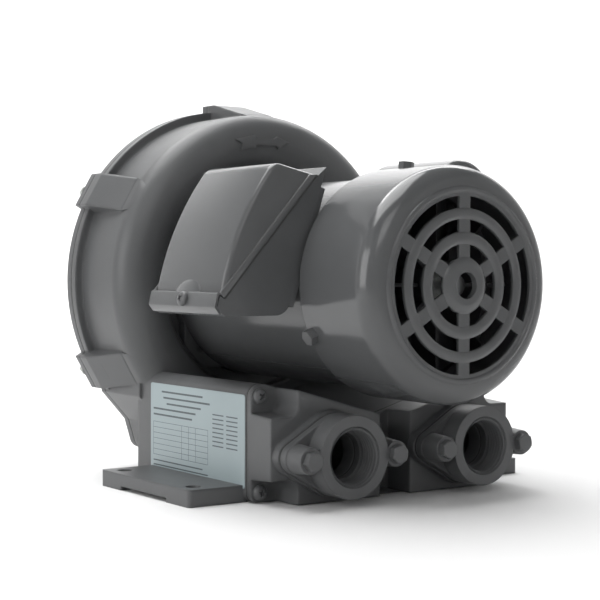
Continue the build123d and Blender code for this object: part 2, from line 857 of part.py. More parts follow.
rear_bearing_end_y = rear_bearing_y + bearing_width
rear_bell_hole = spacer_radius + spacer_hole_gap
with BuildPart() as rear_end_bell:
    with BuildSketch(axis_plane(web_front_y)):
        Rectangle(2 * square_flange_half, 2 * square_flange_half)
        Circle(square_flange_radius, mode=Mode.INTERSECT)
        Circle(frame_radius)
    extrude(amount=web_front_y - frame_rear_y)
    with BuildSketch(axis_plane(frame_rear_y)):
        Circle(spigot_radius)
    extrude(amount=spigot_length)
    with BuildSketch(section_plane()):
        with BuildLine():
            Polyline(
                (frame_rear_y - spigot_length, bell_hub_radius),
                (frame_rear_y - spigot_length, spigot_radius - bell_web),
                (web_front_y - bell_web, spigot_radius - 2 * bell_web),
                (web_front_y - bell_web, bell_hub_radius), close=True)
        make_face()
    revolve(axis=motor_axis, mode=Mode.SUBTRACT)
    with BuildSketch(axis_plane(web_front_y)):
        Circle(bell_hub_radius)
    extrude(amount=web_front_y - rear_bearing_y + fit_gap)
    with BuildSketch(axis_plane(rear_bearing_end_y)):
        Circle(bearing_pocket_radius)
    extrude(amount=bearing_width + fit_gap, mode=Mode.SUBTRACT)
    with BuildSketch(axis_plane(web_front_y)):
        Circle(rear_bell_hole)
    extrude(amount=web_front_y - rear_bearing_end_y, mode=Mode.SUBTRACT)
    with BuildSketch(axis_plane(frame_rear_y - spigot_length)):
        with Locations(*tie_points):
            Circle(tie_bolt_radius + fit_gap)
    extrude(amount=-2 * spigot_length, mode=Mode.SUBTRACT)
    with BuildSketch(axis_plane(web_front_y)):
        with Locations(*bell_screw_points):
            Circle(bell_screw_radius + fit_gap)
    extrude(amount=web_front_y - frame_rear_y - fit_gap, mode=Mode.SUBTRACT)
rear_end_bell.part.label = "rear_end_bell"
export_step(rear_end_bell.part, "parts/rear_end_bell.step")

tie_seat_y = frame_front_y - 2 * bell_web
with BuildPart() as motor_tie_bolts:
    for point in tie_points:
        add_round_screw(
            front_plane(tie_seat_y, point[0], shaft_height + point[1]), tie_bolt_head_radius,
            tie_bolt_head_height, tie_bolt_radius,
            frame_rear_y + spigot_length - tie_seat_y - fit_gap)
motor_tie_bolts.part.label = "motor_tie_bolts"
export_step(motor_tie_bolts.part, "parts/motor_tie_bolts.step")

with BuildPart() as bell_screws:
    for point in bell_screw_points:
        with BuildSketch(front_plane(web_rear_y, point[0], shaft_height + point[1])):
            Circle(bell_screw_radius)
        extrude(amount=web_rear_y - frame_rear_y - 2 * fit_gap)
bell_screws.part.label = "bell_screws"
export_step(bell_screws.part, "parts/bell_screws.step")

# Ball bearings: an outer ring in the bell and an inner ring on the shaft
ball_circle = (bearing_radius + bearing_bore_radius) / 2
ring_pieces = []
for start_y in (front_bearing_y, rear_bearing_y):
    middle_y = start_y + bearing_width / 2
    with BuildPart() as outer_ring:
        with BuildSketch(section_plane()):
            with Locations((middle_y, (bearing_radius + ball_circle + bearing_land) / 2)):
                Rectangle(bearing_width, bearing_radius - ball_circle - bearing_land)
            with Locations((middle_y, ball_circle)):
                Circle(bearing_ball_radius + ball_gap, mode=Mode.SUBTRACT)
        revolve(axis=motor_axis)
    with BuildPart() as inner_ring:
        with BuildSketch(section_plane()):
            with Locations((middle_y, (bearing_bore_radius + ball_circle - bearing_land) / 2)):
                Rectangle(bearing_width, ball_circle - bearing_land - bearing_bore_radius)
            with Locations((middle_y, ball_circle)):
                Circle(bearing_ball_radius + ball_gap, mode=Mode.SUBTRACT)
        revolve(axis=motor_axis)
    with BuildPart() as ball_cage:
        with BuildSketch(axis_plane(middle_y)):
            Circle(ball_circle + bearing_land / 2)
            Circle(ball_circle - bearing_land / 2, mode=Mode.SUBTRACT)
        extrude(amount=cage_width / 2, both=True)
        for step in range(bearing_ball_count):
            angle = step * 360 / bearing_ball_count
            with BuildSketch(radial_plane(angle, ball_circle, middle_y)):
                Circle(bearing_ball_radius + 2 * ball_gap)
            extrude(amount=bearing_land, both=True, mode=Mode.SUBTRACT)
        for step in range(bearing_ball_count):
            angle = step * 360 / bearing_ball_count
            with Locations(radial_plane(angle, ball_circle, middle_y)):
                Sphere(bearing_ball_radius)
    ring_pieces.append((outer_ring, inner_ring, ball_cage))
front_bearing_outer, front_bearing_inner, front_bearing_balls = ring_pieces[0]
rear_bearing_outer, rear_bearing_inner, rear_bearing_balls = ring_pieces[1]
front_bearing_outer.part.label = "front_bearing_outer"
export_step(front_bearing_outer.part, "parts/front_bearing_outer.step")
front_bearing_inner.part.label = "front_bearing_inner"
export_step(front_bearing_inner.part, "parts/front_bearing_inner.step")
front_bearing_balls.part.label = "front_bearing_balls"
export_step(front_bearing_balls.part, "parts/front_bearing_balls.step")
rear_bearing_outer.part.label = "rear_bearing_outer"
export_step(rear_bearing_outer.part, "parts/rear_bearing_outer.step")
rear_bearing_inner.part.label = "rear_bearing_inner"
export_step(rear_bearing_inner.part, "parts/rear_bearing_inner.step")
rear_bearing_balls.part.label = "rear_bearing_balls"
export_step(rear_bearing_balls.part, "parts/rear_bearing_balls.step")

with BuildPart() as bearing_spring:
    with BuildSketch(axis_plane(front_bearing_y)):
        Circle(bearing_radius)
        Circle(ball_circle + bearing_land, mode=Mode.SUBTRACT)
    extrude(amount=spring_thickness)
bearing_spring.part.label = "bearing_spring"
export_step(bearing_spring.part, "parts/bearing_spring.step")

# Stator: laminated core with slots, and the winding heads on both sides
with BuildPart() as stator_core:
    with BuildSketch(axis_plane(core_front_y)):
        Circle(spigot_radius)
        Circle(stator_bore_radius, mode=Mode.SUBTRACT)
        with Locations(*tie_points):
            Circle(tie_bolt_radius + 2 * bolt_clearance, mode=Mode.SUBTRACT)
        with PolarLocations(0, stator_slot_count, start_angle=180 / stator_slot_count):
            with Locations((stator_bore_radius + stator_tooth_tip + stator_slot_depth / 2, 0)):
                Rectangle(stator_slot_depth, stator_slot_width, mode=Mode.SUBTRACT)
    extrude(amount=-core_length)
stator_core.part.label = "stator_core"
export_step(stator_core.part, "parts/stator_core.step")

core_rear_y = core_front_y + core_length
with BuildPart() as stator_windings:
    for middle_y in (core_front_y - winding_overhang / 2, core_rear_y + winding_overhang / 2):
        with BuildSketch(section_plane()):
            with Locations((middle_y, stator_bore_radius + stator_tooth_tip + winding_thickness / 2)):
                RectangleRounded(winding_overhang, winding_thickness, winding_corner)
        revolve(axis=motor_axis)
stator_windings.part.label = "stator_windings"
export_step(stator_windings.part, "parts/stator_windings.step")

# Rotor: shaft with stepped seats, core, spacer and the retaining pieces
fan_front_y = fan_rear_y - fan_length
clip_front_y = fan_front_y - clip_thickness
spacer_rear_y = web_rear_y + spacer_stand_off
hub_rear_y = spacer_rear_y + impeller_hub_length
nut_front_y = hub_rear_y + washer_thickness
shaft_rear_y = nut_front_y + impeller_nut_height + shaft_end_reach
with BuildPart() as shaft:
    with BuildSketch(section_plane()):
        with BuildLine():
            Polyline(
                (shaft_front_y, 0), (shaft_front_y, shaft_fan_radius),
                (fan_rear_y, shaft_fan_radius),
                (bell_front_y + spacer_hole_gap, shaft_fan_radius),
                (front_bearing_y, bearing_bore_radius - running_gap),
                (front_bearing_y + bearing_width, bearing_bore_radius - running_gap),
                (front_bearing_y + bearing_width, shaft_body_radius),
                (core_front_y - core_step, shaft_body_radius),
                (core_front_y - core_step, core_seat_radius),
                (core_rear_y + core_step, core_seat_radius),
                (core_rear_y + core_step, shaft_body_radius),
                (rear_bearing_y, shaft_body_radius),
                (rear_bearing_y, bearing_bore_radius - running_gap),
                (spacer_rear_y, bearing_bore_radius - running_gap),
                (spacer_rear_y, impeller_seat_radius),
                (hub_rear_y, impeller_seat_radius),
                (hub_rear_y, shaft_thread_radius),
                (shaft_rear_y, shaft_thread_radius),
                (shaft_rear_y, 0), close=True)
        make_face()
    revolve(axis=motor_axis)
    # Groove for the fan's clip
    with BuildSketch(section_plane()):
        with Locations((clip_front_y + clip_thickness / 2, shaft_fan_radius)):
            Rectangle(clip_thickness + fit_gap, 2 * clip_groove_depth)
    revolve(axis=motor_axis, mode=Mode.SUBTRACT)
    # Keyway under the impeller
    with BuildSketch(Plane.XY.offset(shaft_height + impeller_seat_radius)):
        with Locations((0, spacer_rear_y + impeller_hub_length / 2)):
            Rectangle(key_width + fit_gap, key_length + fit_gap)
    extrude(amount=-key_width / 2, mode=Mode.SUBTRACT)
shaft.part.label = "shaft"
export_step(shaft.part, "parts/shaft.step")

with BuildPart() as rotor_core:
    with BuildSketch(axis_plane(core_front_y)):
        Circle(stator_bore_radius - air_gap)
    extrude(amount=-core_length)
    with BuildSketch(axis_plane(core_front_y - end_ring_length)):
        Circle(stator_bore_radius - 2 * core_step)
        Circle(stator_bore_radius - 2 * core_step - end_ring_width, mode=Mode.SUBTRACT)
    extrude(amount=-core_length - 2 * end_ring_length)
    with BuildSketch(axis_plane(core_front_y)):
        Circle(core_seat_radius + running_gap)
    extrude(amount=-core_length, mode=Mode.SUBTRACT)
rotor_core.part.label = "rotor_core"
export_step(rotor_core.part, "parts/rotor_core.step")

with BuildPart() as impeller_spacer:
    with BuildSketch(axis_plane(rear_bearing_end_y)):
        Circle(spacer_radius)
        Circle(bearing_bore_radius, mode=Mode.SUBTRACT)
    extrude(amount=rear_bearing_end_y - spacer_rear_y)
impeller_spacer.part.label = "impeller_spacer"
export_step(impeller_spacer.part, "parts/impeller_spacer.step")

with BuildPart() as shaft_seal:
    with BuildSketch(axis_plane(web_rear_y)):
        Circle(seal_radius - running_gap)
        Circle(spacer_radius + running_gap, mode=Mode.SUBTRACT)
    extrude(amount=seal_width)
shaft_seal.part.label = "shaft_seal"
export_step(shaft_seal.part, "parts/shaft_seal.step")

# Impeller: a dished wheel whose rim carries scooped pockets between straight blades on both sides
impeller_front_y = web_rear_y + impeller_clearance
impeller_rear_y = split_y - impeller_clearance
impeller_middle_y = (impeller_front_y + impeller_rear_y) / 2
impeller_radius = cavity_radius - tip_clearance
blade_inner_radius = channel_inner_radius + blade_rim
scoop_radius = (impeller_rear_y - impeller_front_y - scoop_rib) / 2
scoop_reach = (impeller_radius - blade_rim - blade_inner_radius) / 2
scoop_centre = blade_inner_radius + scoop_reach
disc_front_y = spacer_rear_y + (impeller_hub_length - impeller_disc_thickness) / 2
with BuildPart() as impeller:
    with BuildSketch(section_plane()):
        with Locations((impeller_middle_y, (channel_inner_radius + impeller_radius) / 2)):
            Rectangle(impeller_rear_y - impeller_front_y, impeller_radius - channel_inner_radius)
        for face_y in (impeller_front_y, impeller_rear_y):
            with Locations((face_y, scoop_centre)):
                Ellipse(scoop_radius, scoop_reach, mode=Mode.SUBTRACT)
    revolve(axis=motor_axis)
    with BuildSketch(section_plane()) as blade_outline:
        with Locations((impeller_middle_y, scoop_centre)):
            Rectangle(impeller_rear_y - impeller_front_y, 2 * scoop_reach + blade_rim)
    with BuildPart(mode=Mode.PRIVATE) as blade:
        extrude(blade_outline.sketch, amount=blade_thickness / 2, both=True)
    for step in range(blade_count):
        add(blade.part.rotate(motor_axis, step * 360 / blade_count))
    with BuildSketch(axis_plane(disc_front_y)):
        Circle(channel_inner_radius + fit_gap)
    extrude(amount=-impeller_disc_thickness)
    with BuildSketch(axis_plane(spacer_rear_y)):
        Circle(impeller_hub_radius)
    extrude(amount=-impeller_hub_length)
    with BuildSketch(axis_plane(spacer_rear_y)):
        Circle(impeller_seat_radius + running_gap)
    extrude(amount=-impeller_hub_length, mode=Mode.SUBTRACT)
    with BuildSketch(axis_plane(spacer_rear_y)):
        with Locations((0, impeller_seat_radius)):
            Rectangle(key_width + fit_gap, key_width + fit_gap)
    extrude(amount=-impeller_hub_length, mode=Mode.SUBTRACT)
impeller.part.label = "impeller"
export_step(impeller.part, "parts/impeller.step")

with BuildPart() as impeller_key:
    with BuildSketch(Plane.XY.offset(shaft_height + impeller_seat_radius - key_width / 2)):
        with Locations((0, spacer_rear_y + impeller_hub_length / 2)):
            Rectangle(key_width, key_length)
    extrude(amount=key_width)
impeller_key.part.label = "impeller_key"
export_step(impeller_key.part, "parts/impeller_key.step")

with BuildPart() as impeller_washer:
    with BuildSketch(axis_plane(hub_rear_y)):
        Circle(impeller_nut_across / 2 + washer_thickness)
        Circle(shaft_thread_radius + fit_gap, mode=Mode.SUBTRACT)
    extrude(amount=-washer_thickness)
impeller_washer.part.label = "impeller_washer"
export_step(impeller_washer.part, "parts/impeller_washer.step")

with BuildPart() as impeller_nut:
    with BuildSketch(axis_plane(nut_front_y)):
        RegularPolygon(impeller_nut_across / 2, 6, major_radius=False)
        Circle(shaft_thread_radius + running_gap, mode=Mode.SUBTRACT)
    extrude(amount=-impeller_nut_height)
impeller_nut.part.label = "impeller_nut"
export_step(impeller_nut.part, "parts/impeller_nut.step")

# Cooling fan with straight radial blades, held by a clip
fan_blade_root = fan_hub_radius - fan_blade_thickness
with BuildPart() as cooling_fan:
    with BuildSketch(axis_plane(fan_rear_y)):
        Circle(fan_radius - fan_blade_gap)
    extrude(amount=fan_disc_thickness)
    with BuildSketch(axis_plane(fan_rear_y)):
        Circle(fan_hub_radius)
    extrude(amount=fan_length)
    with BuildSketch(section_plane()) as vane_outline:
        with BuildLine():
            Polyline(
                (fan_rear_y, fan_blade_root), (fan_rear_y, fan_radius),
                (fan_front_y + 3 * fan_blade_gap, fan_radius),
                (fan_front_y + fan_blade_gap, fan_radius - 3 * fan_blade_gap),
                (fan_front_y + fan_blade_gap, fan_blade_root), close=True)
        make_face()
    with BuildPart(mode=Mode.PRIVATE) as vane:
        extrude(vane_outline.sketch, amount=fan_blade_thickness / 2, both=True)
    for step in range(fan_blade_count):
        add(vane.part.rotate(motor_axis, step * 360 / fan_blade_count))
    with BuildSketch(axis_plane(fan_rear_y)):
        Circle(shaft_fan_radius + running_gap)
    extrude(amount=fan_length, mode=Mode.SUBTRACT)
cooling_fan.part.label = "cooling_fan"
export_step(cooling_fan.part, "parts/cooling_fan.step")

with BuildPart() as fan_clip:
    with BuildSketch(axis_plane(fan_front_y)):
        Circle(shaft_fan_radius + clip_rim)
        Circle(shaft_fan_radius - clip_groove_depth + running_gap, mode=Mode.SUBTRACT)
    extrude(amount=clip_thickness)
fan_clip.part.label = "fan_clip"
export_step(fan_clip.part, "parts/fan_clip.step")

# Fan cowl: a spun cup with a grille of ring slots in its face
cowl_rear_y = frame_front_y
cowl_bore = cowl_radius - cowl_wall
cowl_slot_width = 2 * cowl_screw_radius + 5 * bolt_clearance
bead_y = cowl_front_y - bead_height
with BuildPart() as fan_cowl:
    with BuildSketch(section_plane()):
        with BuildLine():
            Line((cowl_rear_y, cowl_radius), (cowl_front_y + cowl_rounding, cowl_radius))
            RadiusArc(
                (cowl_front_y + cowl_rounding, cowl_radius),
                (cowl_front_y, cowl_radius - cowl_rounding), -cowl_rounding)
            ThreePointArc(
                (cowl_front_y, cowl_radius - cowl_rounding), (bead_y, (cowl_radius - cowl_rounding + rim_bead_inner) / 2),
                (cowl_front_y, rim_bead_inner))
            Line((cowl_front_y, rim_bead_inner), (cowl_front_y, slot_radii[0][1]))
            ThreePointArc(
                (cowl_front_y, slot_radii[0][1]),
                (bead_y, (slot_radii[0][1] + slot_radii[1][0]) / 2),
                (cowl_front_y, slot_radii[1][0]))
            Line((cowl_front_y, slot_radii[1][0]), (cowl_front_y, slot_radii[1][1]))
            ThreePointArc(
                (cowl_front_y, slot_radii[1][1]),
                (bead_y, (slot_radii[1][1] + slot_radii[2][0]) / 2),
                (cowl_front_y, slot_radii[2][0]))
            Line((cowl_front_y, slot_radii[2][0]), (cowl_front_y, slot_radii[2][1]))
            ThreePointArc(
                (cowl_front_y, slot_radii[2][1]),
                (cowl_front_y - 0.8 * hub_rise, (slot_radii[2][1] + 1.4 * hub_hole_radius) / 2),
                (cowl_front_y - hub_rise, 1.3 * hub_hole_radius))
            Polyline(
                (cowl_front_y - hub_rise, 1.3 * hub_hole_radius),
                (cowl_front_y - hub_rise, hub_hole_radius),
                (cowl_front_y + cowl_wall, hub_hole_radius),
                (cowl_front_y + cowl_wall, cowl_radius - cowl_rounding))
            RadiusArc(
                (cowl_front_y + cowl_wall, cowl_radius - cowl_rounding),
                (cowl_front_y + cowl_rounding, cowl_bore), cowl_rounding - cowl_wall)
            Polyline(
                (cowl_front_y + cowl_rounding, cowl_bore), (cowl_rear_y, cowl_bore),
                (cowl_rear_y, cowl_radius))
        make_face()
    revolve(axis=motor_axis)
    with BuildSketch(axis_plane(cowl_front_y + cowl_rounding)):
        for outer, inner in slot_radii:
            Circle(outer)
            Circle(inner, mode=Mode.SUBTRACT)
        with PolarLocations(0, spoke_count, start_angle=90):
            with Locations((slot_radii[0][0] / 2, 0)):
                Rectangle(slot_radii[0][0] + spoke_width, spoke_width, mode=Mode.SUBTRACT)
    extrude(amount=2 * cowl_rounding, mode=Mode.SUBTRACT)
    for angle in cowl_screw_angles:
        with BuildSketch(radial_plane(angle, cowl_radius, cowl_screw_y)) as slot:
            Circle(cowl_slot_width / 2)
            with Locations(((cowl_rear_y - cowl_screw_y) / 2, 0)):
                Rectangle(cowl_rear_y - cowl_screw_y, cowl_slot_width)
        extrude(slot.sketch, amount=2 * cowl_wall, both=True, mode=Mode.SUBTRACT)
fan_cowl.part.label = "fan_cowl"
export_step(fan_cowl.part, "parts/fan_cowl.step")

with BuildPart() as cowl_screws:
    for angle in cowl_screw_angles:
        add_hex_bolt(
            radial_plane(angle, cowl_radius, cowl_screw_y), cowl_screw_across,
            cowl_screw_head_height, cowl_screw_radius,
            cowl_radius - bell_rim_radius + bell_web - bolt_clearance)
cowl_screws.part.label = "cowl_screws"
export_step(cowl_screws.part, "parts/cowl_screws.step")

# Terminal box: a box that saddles the frame, closed by a folded sheet cover
seam_run = (seam_bottom[0] - seam_top[0], seam_bottom[1] - seam_top[1])
seam_size = math.hypot(*seam_run)
seam_inward = (-seam_run[1] / seam_size, seam_run[0] / seam_size)
saddle_radius = frame_radius + fit_gap / 2
back_depth = box_back_reach - frame_bore + 2 * box_wall


def seam_corner(point, along, drop):
    """A point of the seam, moved down along it and towards the frame."""
    return (
        point[0] + along * seam_run[0] / seam_size + drop * seam_inward[0],
        point[1] + along * seam_run[1] / seam_size + drop * seam_inward[1])


def lid_screw_plane(lift):
    """The plane under the head of the cover's screw, raised off the folded strip."""
    top, low = strip_line[1], strip_line[2]
    run = (low[0] - top[0], low[1] - top[1])
    size = math.hypot(*run)
    outward = (run[1] / size, -run[0] / size)
    reach = sheet / 2 + lift
    middle = ((top[0] + low[0]) / 2, (top[1] + low[1]) / 2)
    return Plane(
        origin=(middle[0] + reach * outward[0], box_screw_y, middle[1] + reach * outward[1]),
        x_dir=(0, 1, 0), z_dir=(outward[0], 0, outward[1]))


block_screw_points = [(conduit_x, y) for y in block_screw_ys]
box_seam = [
    seam_corner(seam_top, 0, lid_gasket_thickness),
    seam_corner(seam_bottom, 0, lid_gasket_thickness)]
back_rise = math.sin(math.radians(box_angle))
back_run = -math.cos(math.radians(box_angle))
back_corner_along = (box_floor_z - shaft_height - box_back_reach * back_rise) / back_run


def back_point(along, reach):
    """A point beside the frame: along runs up the box's flat back, reach is from the axis."""
    return (along * back_rise - reach * back_run, shaft_height + reach * back_rise + along * back_run)


with BuildSketch() as box_face:
    Polygon(
        *box_seam, *box_lip, (box_lip[2][0] + box_wall, box_floor_z),
        back_point(back_corner_along, box_back_reach), back_point(box_back_top, box_back_reach),
        box_head, align=None)
    back_corner = vertices().sort_by_distance(back_point(back_corner_along, box_back_reach))[0]
    fillet(back_corner, box_corner_radius)

with BuildPart() as terminal_box:
    with BuildSketch(front_plane(box_front_y)):
        add(box_face.sketch)
    extrude(amount=-box_length)
    with BuildSketch(front_plane(box_front_y + box_wall)):
        add(box_face.sketch)
        offset(amount=-box_wall, kind=Kind.INTERSECTION)
    extrude(amount=2 * box_wall - box_length, mode=Mode.SUBTRACT)
    with BuildSketch(front_plane(box_front_y + box_wall)):
        Polygon(
            seam_corner(seam_top, box_wall, 0), seam_corner(seam_bottom, -box_wall, 0),
            seam_corner(seam_bottom, -box_wall, 2 * box_wall),
            seam_corner(seam_top, box_wall, 2 * box_wall), align=None)
    extrude(amount=2 * box_wall - box_length, mode=Mode.SUBTRACT)
    with BuildSketch(radial_plane(box_angle, frame_bore, grommet_y)) as lead_hole:
        Circle(grommet_radius)
    extrude(lead_hole.sketch, amount=back_depth, mode=Mode.SUBTRACT)
    for angle, y in box_screw_places:
        with BuildSketch(radial_plane(angle, frame_bore, y)) as hole:
            Circle(box_screw_radius + fit_gap)
        extrude(hole.sketch, amount=back_depth, mode=Mode.SUBTRACT)
    with BuildSketch(lid_screw_plane(box_wall)) as lid_hole:
        Circle(box_screw_radius + fit_gap)
    extrude(lid_hole.sketch, amount=-lid_screw_length - box_wall, mode=Mode.SUBTRACT)
    # Conduit entry and ground screw in the floor of the box
    with BuildSketch(Plane.XY.offset(box_floor_z)):
        with Locations((conduit_x, conduit_y)):
            Circle(conduit_radius)
        with Locations((conduit_x, ground_screw_y)):
            Circle(box_screw_radius + fit_gap)
        with Locations(*block_screw_points):
            Circle(box_screw_radius + fit_gap)
    extrude(amount=box_wall, mode=Mode.SUBTRACT)
terminal_box.part.label = "terminal_box"
export_step(terminal_box.part, "parts/terminal_box.step")

# Pad that carries the box's flat back on the round frame
with BuildPart() as terminal_box_pad:
    with BuildSketch(front_plane(box_front_y)):
        Polygon(
            back_point(pad_low, box_back_reach), back_point(pad_low, saddle_radius),
            back_point(-pad_saddle_half, saddle_radius),
            back_point(-pad_saddle_half, frame_bore - frame_wall),
            back_point(pad_saddle_half, frame_bore - frame_wall),
            back_point(pad_saddle_half, saddle_radius),
            back_point(pad_top, saddle_radius), back_point(pad_top, box_back_reach), align=None)
    extrude(amount=-box_length)
    with BuildSketch(axis_plane(box_front_y)):
        Circle(saddle_radius)
    extrude(amount=-box_length, mode=Mode.SUBTRACT)
    with BuildSketch(radial_plane(box_angle, frame_bore, grommet_y)) as lead_hole:
        Circle(grommet_radius)
    extrude(lead_hole.sketch, amount=back_depth, mode=Mode.SUBTRACT)
    for angle, y in box_screw_places:
        with BuildSketch(radial_plane(angle, frame_bore, y)) as hole:
            Circle(box_screw_radius + fit_gap)
        extrude(hole.sketch, amount=back_depth, mode=Mode.SUBTRACT)
terminal_box_pad.part.label = "terminal_box_pad"
export_step(terminal_box_pad.part, "parts/terminal_box_pad.step")

with BuildPart() as terminal_box_cover:
    with BuildSketch(front_plane(box_front_y)):
        with BuildLine():
            Polyline(cover_heel, seam_bottom, seam_top, cover_apex)
            ThreePointArc(cover_apex, cover_bulge_middle, cover_heel)
        make_face()
    extrude(amount=-box_length)
    ridge = terminal_box_cover.edges().filter_by(Axis.Y)
    fillet(ridge.sort_by(Axis.Z)[-1], cover_edge_radius)
    seam_face = terminal_box_cover.faces().sort_by_distance(
        ((seam_top[0] + seam_bottom[0]) / 2, box_front_y + box_length / 2,
         (seam_top[1] + seam_bottom[1]) / 2))[0]
    offset(amount=-sheet, openings=seam_face, kind=Kind.INTERSECTION)
    # Rim of the cover along the seam, on both end faces
    for rim_y in (box_front_y - cover_rim_reach, box_front_y + box_length - sheet):
        with BuildSketch(front_plane(rim_y)):
            Polygon(
                seam_corner(seam_top, 0, 0), seam_corner(seam_bottom, 0, 0),
                seam_corner(seam_bottom, 0, -cover_rim_height),
                seam_corner(seam_top, cover_rim_height, -cover_rim_height), align=None)
        extrude(amount=-cover_rim_reach - sheet)
    with BuildSketch(front_plane(box_front_y)):
        with BuildLine():
            Polyline(*strip_line)
        trace(line_width=sheet)
    extrude(amount=-box_length)
    with BuildSketch(lid_screw_plane(sheet)) as lid_hole:
        Circle(box_screw_radius + fit_gap)
    extrude(lid_hole.sketch, amount=-3 * sheet, mode=Mode.SUBTRACT)
terminal_box_cover.part.label = "terminal_box_cover"
export_step(terminal_box_cover.part, "parts/terminal_box_cover.step")

with BuildPart() as terminal_box_gasket:
    with BuildSketch(front_plane(box_front_y)):
        Polygon(seam_top, seam_bottom, *reversed(box_seam), align=None)
    extrude(amount=-box_length)
    with BuildSketch(front_plane(box_front_y + box_wall)):
        Polygon(
            seam_corner(seam_top, box_wall, -box_wall), seam_corner(seam_bottom, -box_wall, -box_wall),
            seam_corner(seam_bottom, -box_wall, box_wall),
            seam_corner(seam_top, box_wall, box_wall), align=None)
    extrude(amount=2 * box_wall - box_length, mode=Mode.SUBTRACT)
terminal_box_gasket.part.label = "terminal_box_gasket"
export_step(terminal_box_gasket.part, "parts/terminal_box_gasket.step")

with BuildPart() as terminal_cover_screw:
    add_round_screw(
        lid_screw_plane(0), lid_screw_head_radius, small_head_height, box_screw_radius,
        lid_screw_length)
terminal_cover_screw.part.label = "terminal_cover_screw"
export_step(terminal_cover_screw.part, "parts/terminal_cover_screw.step")

screw_reach = frame_wall + fit_gap / 2
back_seat = box_back_reach + box_wall
with BuildPart() as box_mounting_screws:
    for angle, y in box_screw_places:
        add_round_screw(
            radial_plane(angle, back_seat, y), lid_screw_head_radius,
            small_head_height, box_screw_radius, back_seat - frame_bore - fit_gap)
box_mounting_screws.part.label = "box_mounting_screws"
export_step(box_mounting_screws.part, "parts/box_mounting_screws.step")

block_base_z = box_floor_z + box_wall
block_middle_y = (block_screw_points[0][1] + block_screw_points[1][1]) / 2
terminal_points = [
    (conduit_x + side * terminal_block_width / 4, block_middle_y + step * terminal_pitch)
    for side in (-1, 1)
    for step in (-1, 0, 1)
]
with BuildPart() as terminal_block:
    with BuildSketch(Plane.XY.offset(block_base_z)):
        with Locations((conduit_x, block_middle_y)):
            Rectangle(terminal_block_width, terminal_block_length)
    extrude(amount=terminal_block_height)
    with BuildSketch(Plane.XY.offset(block_base_z + terminal_block_height)):
        with Locations(*block_screw_points):
            Rectangle(terminal_block_width, 4 * box_screw_radius + fit_gap)
    extrude(amount=-terminal_block_height / 2, mode=Mode.SUBTRACT)
    with BuildSketch(Plane.XY.offset(block_base_z)):
        with Locations(*block_screw_points):
            Circle(box_screw_radius + fit_gap)
    extrude(amount=terminal_block_height, mode=Mode.SUBTRACT)
    with BuildSketch(Plane.XY.offset(block_base_z + terminal_block_height)):
        with Locations(*terminal_points):
            Circle(box_screw_radius - 2 * bolt_clearance)
    extrude(amount=-terminal_block_height / 2, mode=Mode.SUBTRACT)
terminal_block.part.label = "terminal_block"
export_step(terminal_block.part, "parts/terminal_block.step")

with BuildPart() as terminal_screws:
    for point in terminal_points:
        top = Plane(origin=(point[0], point[1], block_base_z + terminal_block_height))
        add_round_screw(
            top, terminal_head_radius, terminal_head_height, box_screw_radius - 3 * bolt_clearance,
            terminal_screw_length)
    for point in block_screw_points:
        top = Plane(origin=(point[0], point[1], block_base_z + terminal_block_height / 2))
        add_round_screw(
            top, block_head_radius, small_head_height, box_screw_radius,
            terminal_block_height / 2 + box_wall)
    ground = Plane(origin=(conduit_x, ground_screw_y, block_base_z))
    add_round_screw(ground, ground_head_radius, small_head_height, box_screw_radius, box_wall)
terminal_screws.part.label = "terminal_screws"
export_step(terminal_screws.part, "parts/terminal_screws.step")

# Grommet that lines the wire hole from the frame into the box
with BuildPart() as lead_grommet:
    with BuildSketch(radial_plane(box_angle, frame_bore, grommet_y)) as sleeve:
        Circle(grommet_radius - fit_gap)
        Circle(grommet_radius / 2, mode=Mode.SUBTRACT)
    extrude(sleeve.sketch, amount=back_seat - frame_bore + 2 * fit_gap)
    with BuildSketch(radial_plane(box_angle, back_seat + fit_gap, grommet_y)) as lip:
        Circle(grommet_radius + grommet_lip)
        Circle(grommet_radius / 2, mode=Mode.SUBTRACT)
    extrude(lip.sketch, amount=frame_wall)
lead_grommet.part.label = "lead_grommet"
export_step(lead_grommet.part, "parts/lead_grommet.step")

